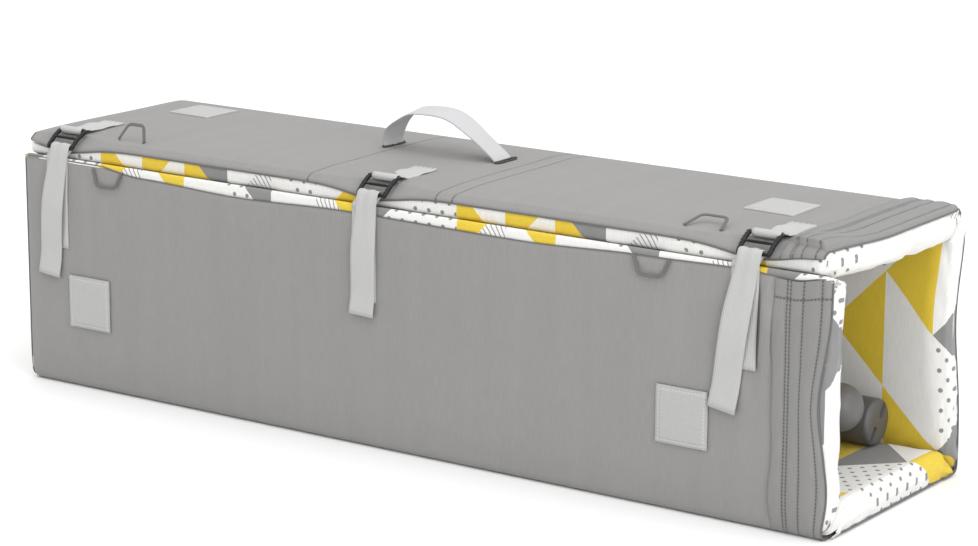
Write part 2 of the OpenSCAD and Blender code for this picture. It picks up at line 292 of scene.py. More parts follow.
def build_print(net, given):
    """Diamonds split into triangles, some plain, some dotted, some with rings of fine arcs."""
    x, v, _ = net.split(given["Cloth"])
    across = net.minus(x, PRINT_START[0])
    along = net.minus(v, PRINT_START[1])
    a = net.math("DIVIDE", net.plus(across, along), 2 * PRINT_HALF)
    b = net.math("DIVIDE", net.minus(across, along), 2 * PRINT_HALF)
    a_in, b_in = net.math("FRACT", a), net.math("FRACT", b)
    right = net.math("GREATER_THAN", net.plus(a_in, b_in), 1.0)
    column = net.math("FLOORED_MODULO", net.math("FLOOR", a), 4.0)
    row = net.math("FLOORED_MODULO", net.math("FLOOR", b), 4.0)
    number = net.plus(net.times(column, 8.0), net.plus(net.times(row, 2.0), right))
    place = net.math("DIVIDE", net.plus(number, 0.5), 32.0)
    letters = "".join(PRINT_REPEAT).replace(" ", "")
    ink = {"w": INK_WHITE, "y": INK_YELLOW, "g": INK_GREY, "d": INK_WHITE, "a": INK_WHITE}
    figure = {"w": (0, 0, 0), "y": (0, 0, 0), "g": (0, 0, 0), "d": (1, 0, 0), "a": (0, 1, 0)}
    ground = net.ramp(place, [(k / 32, ink[c]) for k, c in enumerate(letters)])
    masks = net.split(net.ramp(place, [(k / 32, figure[c]) for k, c in enumerate(letters)]))
    dot_column = net.math("DIVIDE", x, DOT_ACROSS)
    shift = net.times(net.math("FLOORED_MODULO", net.math("FLOOR", dot_column), 2.0), 0.5)
    dot_row = net.plus(net.math("DIVIDE", v, DOT_ALONG), shift)
    dx = net.times(net.minus(net.math("FRACT", dot_column), 0.5), DOT_ACROSS)
    dy = net.times(net.minus(net.math("FRACT", dot_row), 0.5), DOT_ALONG)
    dots = net.times(net.span(net.reach(dx, dy), 0.0020, 0.0026, 1.0, 0.0), masks[0])
    ring = net.math("FRACT", net.times(net.reach(a_in, b_in), PRINT_HALF * 1.414 / ARC_STEP))
    arcs = net.times(net.math("LESS_THAN", ring, 0.24), masks[1])
    inked = net.math("MAXIMUM", dots, arcs)
    return {"Colour": net.mix(inked, ground, (*INK_GREY, 1))}


def build_grain(net, given):
    """The fine leather-like grain of a moulded part, with a slow waviness under it."""
    cells = net.new("ShaderNodeTexVoronoi", {"Vector": given["Place"], "Scale": given["Cells per metre"]})
    wave = net.noise(given["Place"], 60.0, 2.0)
    height = net.plus(net.times(cells.outputs["Distance"], 0.5), wave)
    return {"Height": height, "Tone": net.span(wave, 0.3, 0.7, 0.93, 1.07)}


def build_scuffs(net, given):
    """Fine pale scratches and rubbed places."""
    stretched = net.vector("MULTIPLY", given["Place"], (30.0, 400.0, 260.0))
    streaks = net.span(net.noise(stretched, 1.0, 4.0, 0.7), 0.62, 0.74)
    places = net.span(net.noise(given["Place"], 14.0, 2.0), 0.45, 0.62)
    return {"Mask": net.times(net.times(streaks, places), given["Amount"])}


make_effect("cloth weave", {"Cloth": "v", "Threads per metre": "f"},
            {"Height": "f", "Tone": "f"}, build_weave)
make_effect("handling mottle", {"Place": "v", "Size": "f", "Amount": "f"}, {"Tone": "f"}, build_mottle)
make_effect("stitch row", {"Along": "f", "Across": "f", "Centre": "f"},
            {"Thread": "f", "Furrow": "f"}, build_stitches)
make_effect("triangle print", {"Cloth": "v"}, {"Colour": "c"}, build_print)
make_effect("moulded grain", {"Place": "v", "Cells per metre": "f"},
            {"Height": "f", "Tone": "f"}, build_grain)
make_effect("scuffs", {"Place": "v", "Amount": "f"}, {"Mask": "f"}, build_scuffs)


# ---------------------------------------------------------------- materials
def make_material(name, build, roughness=0.8, **constants):
    """build(net, cloth, place) gives colour, height, bump strength and its distance."""
    material = bpy.data.materials.new(name)
    material.use_nodes = True
    tree = material.node_tree
    tree.nodes.clear()
    net = Net(tree)
    cloth = net.new("ShaderNodeUVMap", uv_map="cloth").outputs[0]
    place = net.new("ShaderNodeTexCoord").outputs["Object"]
    made = build(net, cloth, place)
    shader = net.new("ShaderNodeBsdfPrincipled")
    net.put(shader.inputs["Base Color"], made["colour"])
    net.put(shader.inputs["Roughness"], made.get("roughness", roughness))
    for label, value in constants.items():
        shader.inputs[label.replace("_", " ")].default_value = value
    bump = net.new("ShaderNodeBump", {"Height": made["height"], "Strength": made.get("bump", 0.3),
                                      "Distance": made.get("depth", 0.001)})
    net.put(shader.inputs["Normal"], bump.outputs[0])
    output = net.new("ShaderNodeOutputMaterial")
    tree.links.new(shader.outputs[0], output.inputs[0])
    return material


def toned(net, colour, *tones):
    """A colour made lighter or darker by each tone, where 1 leaves it as it is."""
    for tone in tones:
        colour = net.mix(1.0, colour, net.join(tone, tone, tone), "MULTIPLY")
    return colour


COVER_THREADS = 1400.0
SEAM_THREAD = (0.07, 0.069, 0.066, 1)
PATCH_THREAD = (0.56, 0.56, 0.545, 1)


def cloth_build(colour, mottle, crease, rows=(), cross_rows=()):
    """A woven cloth; rows lie across the first cloth direction, and cross_rows across the second."""
    def build(net, cloth, place):
        weave = net.effect("cloth weave", Cloth=cloth, Threads_per_metre=COVER_THREADS)
        patchy = net.effect("handling mottle", Place=place, Size=5.0, Amount=mottle)
        x, v, _ = net.split(cloth)
        streaks = net.noise(net.vector("MULTIPLY", cloth, (55.0, 3.0, 1.0)), 1.0, 3.0)
        streaks = net.span(streaks, 0.3, 0.7, 0.975, 1.025)
        base = toned(net, (*colour, 1), weave["Tone"], patchy["Tone"], streaks)
        folds = net.noise(net.vector("MULTIPLY", cloth, (16.0, 9.0, 1.0)), 1.0, 5.0, 0.62)
        height = net.plus(net.times(weave["Height"], 0.25), net.times(folds, crease))
        sewn = [(v, x, centre) for centre in rows] + [(x, v, centre) for centre in cross_rows]
        for along, across, centre in sewn:
            row = net.effect("stitch row", Along=along, Across=across, Centre=centre)
            # Painted shade: the cloth colour is darkened along the furrow of each stitch row.
            base = net.mix(net.times(row["Furrow"], 0.55), base, toned(net, base, 0.5))
            base = net.mix(row["Thread"], base, SEAM_THREAD)
            height = net.minus(height, row["Furrow"])
        return {"colour": base, "height": height, "bump": 0.55, "depth": 0.0012}
    return build


def print_build(net, cloth, place):
    """The printed lining cloth, creased."""
    printed = net.effect("triangle print", Cloth=cloth)
    weave = net.effect("cloth weave", Cloth=cloth, Threads_per_metre=1500.0)
    patchy = net.effect("handling mottle", Place=place, Size=9.0, Amount=0.10)
    folds = net.noise(net.vector("MULTIPLY", cloth, (28.0, 14.0, 1.0)), 1.0, 4.0, 0.6)
    height = net.plus(net.times(weave["Height"], 0.2), net.times(folds, 1.6))
    return {"colour": toned(net, printed["Colour"], weave["Tone"], patchy["Tone"]),
            "height": height, "bump": 0.6, "depth": 0.0016}


RIB_WIDTH = 0.0021
PICK_LENGTH = 0.0012


def webbing_build(colour):
    """Narrow webbing: ribs along its length crossed by close picks."""
    def build(net, cloth, place):
        along, across, _ = net.split(cloth)
        rib = net.wave(net.times(across, math.pi / RIB_WIDTH))
        pick = net.wave(net.plus(net.times(along, math.pi / PICK_LENGTH), net.times(rib, 1.2)))
        height = net.plus(net.times(rib, 0.6), net.times(pick, 0.5))
        patchy = net.effect("handling mottle", Place=place, Size=22.0, Amount=0.14)
        # Painted shade: the tone is darker in the hollows between ribs and picks, with a random mottle on
        # top.
        base = toned(net, (*colour, 1), net.span(height, 0.0, 1.1, 0.84, 1.05), patchy["Tone"])
        return {"colour": base, "height": height, "bump": 0.5, "depth": 0.0008}
    return build


def pile_build(net, cloth, place):
    """Brushed loop pile, sewn round its edge."""
    fuzz = net.noise(place, 900.0, 4.0, 0.75)
    clumps = net.noise(place, 160.0, 3.0, 0.6)
    x, v, _ = net.split(cloth)
    height = net.plus(fuzz, net.times(clumps, 0.8))
    base = toned(net, (0.405, 0.407, 0.396, 1), net.span(fuzz, 0.3, 0.7, 0.88, 1.08))
    for across, along in ((x, v), (v, x)):
        for centre in (PATCH_HEM, PATCH_SIZE - PATCH_HEM):
            row = net.effect("stitch row", Along=along, Across=across, Centre=centre)
            base = net.mix(net.times(row["Thread"], 0.6), base, PATCH_THREAD)
            height = net.minus(height, net.times(row["Furrow"], 1.2))
    return {"colour": base, "height": height, "bump": 0.7, "depth": 0.0010}


def plastic_build(colour, scuff):
    """Moulded plastic: a fine grain, with paler rubbed places."""
    def build(net, cloth, place):
        grain = net.effect("moulded grain", Place=place, Cells_per_metre=1400.0)
        worn = net.effect("scuffs", Place=place, Amount=scuff)
        base = toned(net, (*colour, 1), grain["Tone"])
        pale = tuple(min(1.0, c * 1.8 + 0.04) for c in colour)
        rough = net.span(grain["Height"], 0.3, 1.2, 0.36, 0.52)
        rough = net.plus(rough, net.times(worn["Mask"], 0.2))
        return {"colour": net.mix(worn["Mask"], base, (*pale, 1)), "height": grain["Height"],
                "roughness": rough, "bump": 0.25, "depth": 0.0004}
    return build


def tube_build(net, cloth, place):
    """Powder coat: orange peel, with thin scratches."""
    peel = net.noise(place, 700.0, 2.0)
    worn = net.effect("scuffs", Place=place, Amount=0.5)
    patchy = net.effect("handling mottle", Place=place, Size=12.0, Amount=0.15)
    base = toned(net, (0.17, 0.17, 0.175, 1), patchy["Tone"])
    return {"colour": net.mix(worn["Mask"], base, (0.42, 0.42, 0.42, 1)), "height": peel,
            "roughness": net.span(peel, 0.3, 0.7, 0.34, 0.46), "bump": 0.2, "depth": 0.0003}


def steel_build(net, cloth, place):
    """Plated steel, turned: fine rings."""
    turned = net.noise(net.vector("MULTIPLY", place, (2500.0, 60.0, 2500.0)), 1.0, 3.0)
    base = toned(net, (0.60, 0.60, 0.61, 1), net.span(turned, 0.3, 0.7, 0.88, 1.06))
    return {"colour": base, "height": turned, "roughness": net.span(turned, 0.3, 0.7, 0.25, 0.4),
            "bump": 0.15, "depth": 0.0002}


def board_build(net, cloth, place):
    """Pressed fibreboard, with short fibres."""
    fibres = net.noise(net.vector("MULTIPLY", place, (300.0, 900.0, 900.0)), 1.0, 4.0, 0.7)
    specks = net.noise(place, 350.0, 2.0)
    base = net.mix(net.span(fibres, 0.35, 0.65), (0.30, 0.20, 0.11, 1), (0.46, 0.33, 0.20, 1))
    base = toned(net, base, net.span(specks, 0.3, 0.7, 0.9, 1.08))
    return {"colour": base, "height": fibres, "bump": 0.3}


def foam_build(net, cloth, place):
    """Open-cell foam."""
    cells = net.new("ShaderNodeTexVoronoi", {"Vector": place, "Scale": 700.0})
    gap = cells.outputs["Distance"]
    base = toned(net, (0.86, 0.82, 0.66, 1), net.span(gap, 0.1, 0.7, 0.7, 1.05))
    return {"colour": base, "height": gap, "bump": 0.6}


def netting_build(net, cloth, place):
    """Knitted netting: small holes in staggered rows, painted dark as painted shade, folded in many layers.
    """
    x, v, _ = net.split(net.scaled(cloth, 400.0))
    row = net.math("FLOORED_MODULO", net.math("FLOOR", v), 2.0)
    px = net.minus(net.math("FRACT", net.plus(x, net.times(row, 0.5))), 0.5)
    py = net.minus(net.math("FRACT", v), 0.5)
    hole = net.span(net.reach(px, py), 0.26, 0.34, 1.0, 0.0)
    # The holes get a near-black colour: painted shade seen through the net.
    base = net.mix(hole, (0.52, 0.52, 0.50, 1), (0.10, 0.10, 0.10, 1))
    patchy = net.effect("handling mottle", Place=place, Size=20.0, Amount=0.2)
    return {"colour": toned(net, base, patchy["Tone"]), "height": net.minus(1.0, hole),
            "bump": 0.5, "depth": 0.0006}


GREY = (0.251, 0.246, 0.238)
BAND_GREY = (0.220, 0.217, 0.214)
BAND_ROWS = (BAND_X + 0.0140, BAND_X + 0.0175, BAND_X + 0.031, BAND_X + 0.050)
BAND_CROSS_ROW = 0.017
TOP_SEAMS = (0.046, 0.066, -0.115)


def cover_material(name, **sewing):
    """The grey cloth of the panels, with its creases and rows of stitches."""
    return make_material(name, cloth_build(GREY, 0.10, 1.2, **sewing), roughness=0.82,
                         Sheen_Weight=0.12, Sheen_Roughness=0.5)


def band_material(name, **sewing):
    """The darker cloth of the bands, more creased."""
    return make_material(name, cloth_build(BAND_GREY, 0.14, 2.4, rows=BAND_ROWS, **sewing), roughness=0.80,
                         Sheen_Weight=0.15, Sheen_Roughness=0.5)


def tape_material(name, colour, roughness, sheen=0.0):
    return make_material(name, webbing_build(colour), roughness=roughness, Sheen_Weight=sheen)


def moulding_material(name, colour, scuff, **constants):
    return make_material(name, plastic_build(colour, scuff), **constants)


MAT = {
    "grey_cloth": cover_material("grey cover cloth"),
    "top_cloth": cover_material("grey cover cloth with cross seams", rows=TOP_SEAMS),
    "band_cloth": band_material("grey band cloth"),
    "front_band_cloth": band_material("grey band cloth with a cross seam", cross_rows=(BAND_CROSS_ROW,)),
    "print": make_material("triangle print cloth", print_build, roughness=0.78, Sheen_Weight=0.08),
    "piping": tape_material("dark piping", (0.135, 0.132, 0.128), 0.70),
    "webbing": tape_material("strap webbing", (0.440, 0.440, 0.433), 0.62, 0.1),
    "tab": tape_material("tab webbing", (0.455, 0.455, 0.448), 0.62, 0.1),
    "handle": tape_material("handle webbing", (0.50, 0.50, 0.51), 0.60, 0.1),
    "tape": tape_material("pull tape", (0.125, 0.123, 0.118), 0.75),
    "thread": tape_material("buttonhole thread", (0.035, 0.035, 0.037), 0.60),
    "pile": make_material("loop pile", pile_build, roughness=0.9, Sheen_Weight=0.3, Sheen_Roughness=0.4),
    "black": moulding_material("black moulding", (0.012, 0.012, 0.014), 0.35, Specular_IOR_Level=0.25),
    "grey_plastic": moulding_material("grey moulding", (0.088, 0.086, 0.083), 0.5),
    "pale_plastic": moulding_material("pale grey moulding", (0.115, 0.114, 0.110), 0.4),
    "red_plastic": moulding_material("red moulding", (0.50, 0.035, 0.025), 0.4),
    "tube": make_material("powder-coated tube", tube_build, Metallic=0.0, Coat_Weight=0.15),
    "steel": make_material("plated steel", steel_build, Metallic=0.9),
    "board": make_material("fibreboard", board_build, roughness=0.85),
    "foam": make_material("open-cell foam", foam_build, roughness=0.95),
    "netting": make_material("folded netting", netting_build, roughness=0.8),
}


# ---------------------------------------------------------------- mesh helpers
def make_object(name, points, faces, material, uvs=None):
    """A smooth mesh. uvs gives each point its place on its cloth, in metres."""
    mesh = bpy.data.meshes.new(name)
    mesh.from_pydata([tuple(p) for p in points], [], faces)
    layer = mesh.uv_layers.new(name="cloth")
    if uvs is not None:
        index = np.empty(len(mesh.loops), int)
        mesh.loops.foreach_get("vertex_index", index)
        layer.data.foreach_set("uv", np.array(uvs, np.float32)[index].ravel())
    mesh.materials.append(material)
    mesh.polygons.foreach_set("use_smooth", np.ones(len(mesh.polygons), bool))
    mesh.validate()
    return add_object(name, mesh)


def make_solid(name, points, faces, material, uvs=None):
    """A closed mesh with all its faces turned outwards."""
    item = make_object(name, points, faces, material, uvs)
    work = bmesh.new()
    work.from_mesh(item.data)
    bmesh.ops.recalc_face_normals(work, faces=work.faces)
    work.to_mesh(item.data)
    work.free()
    return item


def flat(rows):
    return [p for row in rows for p in row]


def grid_faces(rows, columns, wrap=False):
    """Faces over a grid of points, which can be closed into a tube."""
    faces = []
    for i in range(rows - 1):
        for j in range(columns if wrap else columns - 1):
            k = (j + 1) % columns
            faces.append((i * columns + j, i * columns + k, (i + 1) * columns + k, (i + 1) * columns + j))
    return faces


def tube_faces(rows, columns):
    """A closed tube over a grid of points, with one flat face on either end."""
    last = (rows - 1) * columns
    ends = [tuple(reversed(range(columns))), tuple(range(last, last + columns))]
    return grid_faces(rows, columns, wrap=True) + ends


def flat_tube_faces(rows, columns):
    """A closed tube of flat section, whose ends are closed by strips of small faces."""
    faces = grid_faces(rows, columns, wrap=True)
    last = (rows - 1) * columns
    for k in range(columns // 2 - 1):
        faces.append((k + 1, k, columns - 1 - k, columns - 2 - k))
        faces.append((last + k, last + k + 1, last + columns - 2 - k, last + columns - 1 - k))
    return faces


def settle(item):
    """Applies the item's modifiers to its mesh."""
    graph = bpy.context.evaluated_depsgraph_get()
    mesh = bpy.data.meshes.new_from_object(item.evaluated_get(graph))
    item.modifiers.clear()
    old, item.data = item.data, mesh
    bpy.data.meshes.remove(old)
    return item


def modify(item, kind, **settings):
    """Adds a modifier with these settings."""
    modifier = item.modifiers.new(kind.lower(), kind)
    for key, value in settings.items():
        setattr(modifier, key, value)
    return modifier


def thicken(item):
    """Gives cloth its thickness, inwards."""
    modify(item, "SOLIDIFY", thickness=CLOTH_T, offset=-1)
    return settle(item)


def cloth_grid(name, rows, uv_rows, material):
    """A sheet of cloth over a grid of points, as a closed thin solid."""
    faces = grid_faces(len(rows), len(rows[0]))
    return thicken(make_object(name, flat(rows), faces, material, flat(uv_rows)))


def smooth_step(value, low, high):
    """0 below low, 1 above high, and a smooth rise between them."""
    t = min(1.0, max(0.0, (value - low) / (high - low)))
    return t * t * (3 - 2 * t)


def hump(value, centre, width):
    """A smooth bump, 1 at its centre."""
    return math.exp(-((value - centre) / width) ** 2)


def steady(values, x):
    """A smooth curve through (place, value) pairs."""
    for (x0, y0), (x1, y1) in zip(values, values[1:]):
        if x <= x1:
            return y0 + (y1 - y0) * smooth_step(x, x0, x1)
    return values[-1][1]


def bent_path(corners, counts, closed=False, arc=6):
    """Points along straight runs and rounded corners. corners are (a, b, radius), and counts the steps of
    each straight run. Also gives each step's tag: "c" or "s" and the number of its corner or run."""
    points, tags = [], []
    total = len(corners)
    for i, (a, b, radius) in enumerate(corners):
        p = Vector((a, b))
        last = not closed and i == total - 1
        if radius > 0 and (closed or 0 < i < total - 1):
            back = (Vector(corners[i - 1][:2]) - p).normalized()
            ahead = (Vector(corners[(i + 1) % total][:2]) - p).normalized()
            reach = radius / math.tan(back.angle(ahead) / 2)
            start, end = p + back * reach, p + ahead * reach
            for k in range(arc):
                t = k / arc
                points.append(start * (1 - t) ** 2 + p * 2 * t * (1 - t) + end * t * t)
                tags.append(("c", i))
            points.append(end)
        else:
            end = p
            points.append(p)
        tags.append(("s", i))
        if last:
            break
        following = corners[(i + 1) % total]
        q = Vector(following[:2])
        if following[2] > 0 and (closed or i + 1 < total - 1):
            beyond = Vector(corners[(i + 2) % total][:2])
            back, ahead = (p - q).normalized(), (beyond - q).normalized()
            q = q + back * (following[2] / math.tan(back.angle(ahead) / 2))
        for k in range(1, counts[i]):
            points.append(end.lerp(q, k / counts[i]))
            tags.append(("s", i))
    return points, tags


def smooth_line(points, steps):
    """A smooth curve through the points, with so many steps between each two."""
    ends = [points[0] * 2 - points[1], *points, points[-1] * 2 - points[-2]]
    line = []
    for a, b, c, d in zip(ends, ends[1:], ends[2:], ends[3:]):
        for k in range(steps):
            t = k / steps
            line.append(0.5 * (2 * b + (c - a) * t + (2 * a - 5 * b + 4 * c - d) * t * t
                               + (3 * b - a - 3 * c + d) * t ** 3))
    line.append(points[-1])
    return line


def direction(line, i):
    """Unit direction of a line at its point i."""
    return (line[min(i + 1, len(line) - 1)] - line[max(i - 1, 0)]).normalized()


def normals_of(points):
    """Unit normals in the plane of a path, to the right of its direction."""
    found = [direction(points, i) for i in range(len(points))]
    return [Vector((d.y, -d.x)) for d in found]


def lengths_of(points):
    """The length of a path up to each of its points."""
    total, found = 0.0, [0.0]
    for p, q in zip(points, points[1:]):
        total += (q - p).length
        found.append(total)
    return found


# ---------------------------------------------------------------- the shape of the mat
def near_strap(x):
    """1 where a strap pulls the closing edge down, 0 between the straps."""
    return max(hump(x, STRAP_X[s], 0.045) for s in SIDES)


# The dips of the front seam: (place along the case, height from the seam's own level)
SEAM_DIPS = [(-0.50, 0.004), (-0.41, 0.003), (-0.33, -0.006), (-0.20, -0.010), (-0.06, -0.006),
             (0.16, -0.008), (0.30, -0.003), (0.40, -0.001), (0.46, -0.004), (0.50, 0.002)]
LID_HEM = 0.0035


def front_seam(x):
    """Height of the seam between grey cloth and print along the top of the front panel."""
    return min(FRONT_SEAM + steady(SEAM_DIPS, x), FRONT_TOP - 0.0050)


def lid_shape(x):
    """The corners of the top panel's front edge, as u and w: where it starts to turn down, and its seam."""
    pull = near_strap(x)
    return LID_U - 0.008 - 0.010 * pull, 0.0035 + 0.0085 * pull


def wobble(x, v, size, seed):
    """Soft waves of this size over the cloth, from 0 to 1."""
    return 0.5 + 0.5 * noise.noise(Vector((x / size, v / size, seed)))


def ends_fade(x, margin=0.030):
    """0 at the ends of the case, 1 from the margin inwards."""
    return smooth_step(HALF_L - abs(x), 0.0, margin)


def band_puckers(x, v):
    """Small gathers beside the sewn band."""
    return 0.0016 * hump(x, BAND_X - 0.004, 0.012) * wobble(x * 0.4, v, 0.020, 11.0)


def strap_creases(x, across, centre, reach):
    """Folds that fan out from where a strap pulls at the cloth."""
    dx, dv = x - centre, across
    r = math.hypot(dx, dv)
    fan = math.sin(math.atan2(dv, dx) * 8 + centre * 40 + 12 * r)
    return fan * smooth_step(r, 0.012, 0.035) * math.exp(-(r / reach) ** 2)


def end_shift(panel, x, u):
    """How far the ends of a panel are pulled along the case, where its cloth is drawn in or rounded."""
    share = smooth_step(abs(x), 0.43, HALF_L)
    shift = 0.0
    if panel == "top" and x > 0:
        shift = -0.015 * smooth_step(u, 0.15, LID_U)
    if panel == "top" and x < 0:
        corner = min(1.0, max(0.0, (u - LID_U + 0.024) / 0.024))
        shift = 0.002 * corner * corner - 0.0045 * hump(u, 0.19, 0.08)
    if panel == "back" and x > 0:
        shift = 0.0015 - 0.0075 * hump(u, 0.160, 0.065)
    near_fold = {"top": u, "back": HEIGHT - u}.get(panel, 1.0)
    shift -= math.copysign(0.005, x) * (1 - smooth_step(near_fold, 0.0, 0.024))
    if panel == "front":
        shift = -math.copysign(0.0015, x) * hump(u, 0.0, 0.02)
    return share * shift


def cloth_shift(panel, x, u):
    """The end of the grey cloth itself, where it shows more or less of the print."""
    shift = end_shift(panel, x, u)
    if panel == "front" and x > 0:
        drawn = 0.0105 * hump(u, 0.130, 0.050) + 0.0035 * hump(u, 0.0, 0.03)
        shift -= smooth_step(x, 0.46, HALF_L) * drawn
    return shift


def front_fullness(x, z):
    """How far the front panel's cloth stands out from its flat face."""
    inside = ends_fade(x) * smooth_step(z, 0.004, 0.045) * smooth_step(FRONT_SEAM + 0.006 - z, 0.0, 0.05)
    soft = 0.0022 * wobble(x, z, 0.21, 1.0) + 0.0011 * wobble(x, z, 0.075, 2.0)
    tuck_x = BAND_X - 0.008 + 0.003 * math.sin(z * 31)
    tall = smooth_step(z, 0.135, 0.185) * smooth_step(0.249 - z, 0.0, 0.025)
    tuck = 0.0088 * hump(x, tuck_x, 0.0042) * tall - 0.0026 * hump(x, tuck_x - 0.0085, 0.0036) * tall
    lower = smooth_step(z, 0.08, 0.15) * smooth_step(0.235 - z, 0.0, 0.04)
    second = 0.0022 * hump(x, tuck_x - 0.020, 0.006) * lower
    creases = sum(strap_creases(x, z - 0.258, STRAP_X[s], 0.040) for s in SIDES)
    creases *= 0.0011 * smooth_step(FRONT_SEAM - z, 0.0, 0.02)
    lie = 0.0007 * ends_fade(x, 0.012) * smooth_step(z, 0.004, 0.030)
    return inside * (soft + band_puckers(x, z) + creases) + tuck + second + lie


def back_fullness(x, z):
    """How far the back panel's cloth stands out."""
    inside = ends_fade(x) * smooth_step(z, 0.004, 0.045) * smooth_step(HEIGHT - z, 0.010, 0.06)
    return inside * (0.0022 * wobble(x, z, 0.20, 3.0) + 0.0010 * wobble(x, z, 0.07, 4.0)
                     + band_puckers(x, z))


def top_fullness(x, y):
    """How far the top panel's cloth stands up, with its cross seams and the folds at the straps."""
    inside = ends_fade(x) * smooth_step(HALF_W - y, 0.010, 0.05) * smooth_step(y - LID_Y, 0.006, 0.05)
    soft = 0.0024 * wobble(x, y, 0.19, 5.0) + 0.0012 * wobble(x, y, 0.07, 6.0)
    near_pull = max(hump(x, pull_x, 0.034) for pull_x in TOP_PULL_X)
    soft *= 1 - 0.9 * near_pull * hump(y, LID_Y + 0.016, 0.030)
    lean = 0.006 * (y - LID_Y)
    seam = 0.0
    for place in TOP_SEAMS:
        centre = place - lean
        seam += 0.0007 * (hump(x, centre - 0.003, 0.0022) + hump(x, centre + 0.003, 0.0022))
    creases = sum(strap_creases(x, y + 0.122, BUCKLE_X[s], 0.052) for s in SIDES)
    creases *= 0.0017 * smooth_step(y - LID_Y, 0.003, 0.016)
    end = BAND_X + 0.016
    hollow = 0.0048 * hump(x, BAND_X - 0.006, 0.014) * smooth_step(-y, 0.06, 0.10)
    flap = 0.0066 * smooth_step(x, end - 0.022, end) * smooth_step(-y, 0.050, 0.112)
    return inside * (soft + band_puckers(x, y) + creases - hollow) + seam * inside + flap


def end_roll(angles):
    """The roll over an end of a panel: (how far along, how far in) at each angle in degrees."""
    return [(END_R * math.sin(a), END_R * (1 - math.cos(a))) for a in map(math.radians, angles)]


CLOTH_ROLL = end_roll((10, 20, 30, 40, 50))


def stations(x0, x1, step, roll_low, roll_high):
    """Places along the case from x0 to x1, as (x, inset), with a roll over either end."""
    places = []
    start, stop = x0, x1
    if roll_low:
        start = x0 + END_R
        places += [(start - along, inset) for along, inset in reversed(CLOTH_ROLL)]
    if roll_high:
        stop = x1 - END_R
    count = max(1, round((stop - start) / step))
    places += [(start + (stop - start) * k / count, 0.0) for k in range(count + 1)]
    if roll_high:
        places += [(stop + along, inset) for along, inset in CLOTH_ROLL]
    return places


# The four paths of the grey cloth round the case, in Y and Z, each with the cloth's outer side on its
# right
def front_path(x):
    corners = [(-HALF_W, front_seam(x), 0), (-HALF_W, 0, FOLD_R), (-HALF_W + TUCK, 0, 0)]
    return bent_path(corners, [44, 3])[0]


def bottom_path(x):
    return bent_path([(-HALF_W + TUCK, 0, 0), (HALF_W - TUCK, 0, 0)], [16])[0]


def back_path(x):
    corners = [(HALF_W - TUCK, 0, 0), (HALF_W, 0, FOLD_R), (HALF_W, HEIGHT - TUCK, 0)]
    return bent_path(corners, [3, 34])[0]


def top_path(x):
    turn_u, turn_w = lid_shape(x)
    return bent_path([(HALF_W, HEIGHT - TUCK, 0), (HALF_W, HEIGHT, 0.016),
                      (HALF_W - turn_u, HEIGHT, 0.008),
                      (HALF_W - LID_U, HEIGHT - turn_w, 0.0045),
                      (HALF_W - LID_U, HEIGHT - turn_w - LID_HEM, 0)], [3, 40, 2, 1])[0]


PATHS = {"front": front_path, "bottom": bottom_path, "back": back_path, "top": top_path}


def standing_out(panel, x, p):
    """How far the cloth of a panel stands out at a point of its path."""
    if panel == "front" and p.y > 0.001 and p.x < -HALF_W + 0.0005:
        return front_fullness(x, p.y)
    if panel == "back" and p.y > 0.001 and p.x > HALF_W - 0.0005:
        return back_fullness(x, p.y)
    if panel == "top" and p.y > HEIGHT - 0.0005:
        return top_fullness(x, p.x)
    return 0.0


def band_rise(x, v, first_x):
    """The band's own thickness and its rows of puffed cloth between the stitch rows."""
    puff = 0.0
    edges = (first_x, *BAND_ROWS, HALF_L)
    for low, high in zip(edges, edges[1:]):
        if low <= x <= high:
            puff = math.sin(math.pi * (x - low) / (high - low)) * min(0.0012, (high - low) * 0.08)
    gather = 0.0016 * (wobble(x * 0.35, v, 0.022, 7.0) - 0.5) + 0.0010 * wobble(x, v, 0.06, 8.0)
    return 0.0014 + puff + max(-0.0004, gather) * smooth_step(HALF_L - x, 0.004, 0.014)


def band_start(v):
    """The wavy sewn edge of the band."""
    return BAND_X + 0.0016 * math.sin(v * 61 + 1.3) * math.sin(v * 23 + 0.4)


def panel_u(panel, x, p):
    """Which panel a point of a cloth path lies on, with x and its distance from that panel's fold."""
    if panel == "top" and p.y < HEIGHT and p.x > HALF_W - 0.0001:
        return "back", x, p.y
    return panel, x, {"top": HALF_W - p.x, "bottom": p.x + HALF_W}.get(panel, p.y)


def grey_sheet(name, panel, places, material, band=False):
    """The grey cloth of a panel, or the band sewn over it, as a grid along the case and round it."""
    rows, uv_rows = [], []
    reference = lengths_of(PATHS[panel](0.0))
    for x, inset in places:
        path = PATHS[panel](x)
        sides = normals_of(path)
        row, uv_row = [], []
        for j, (p, side) in enumerate(zip(path, sides)):
            v = reference[j]
            place = panel_u(panel, x, p)
            drawn = abs(cloth_shift(*place) - end_shift(*place))
            out = standing_out(panel, x, p) * (1 - smooth_step(inset, 0.0, 0.002))
            out -= inset * (1 - smooth_step(drawn, 0.0, 0.003))
            px = x
            if band:
                first_x = band_start(v)
                share = smooth_step((HALF_L - END_R - x) / (HALF_L - END_R - BAND_X), 0.0, 1.0)
                px = x + (first_x - BAND_X) * share
                clear = smooth_step(p.y, 0.0, 0.03) if panel in ("front", "back") else float(panel == "top")
                out += band_rise(px, v, first_x) * clear * (1 - smooth_step(inset, 0.0, END_R * 0.3) * 0.6)
            q = p + side * out
            row.append(Vector((px + cloth_shift(*panel_u(panel, px, p)), q.x, max(0.0, q.y))))
            uv_row.append((px, v))
        rows.append(row)
        uv_rows.append(uv_row)
    return cloth_grid(name, rows, uv_rows, material), rows


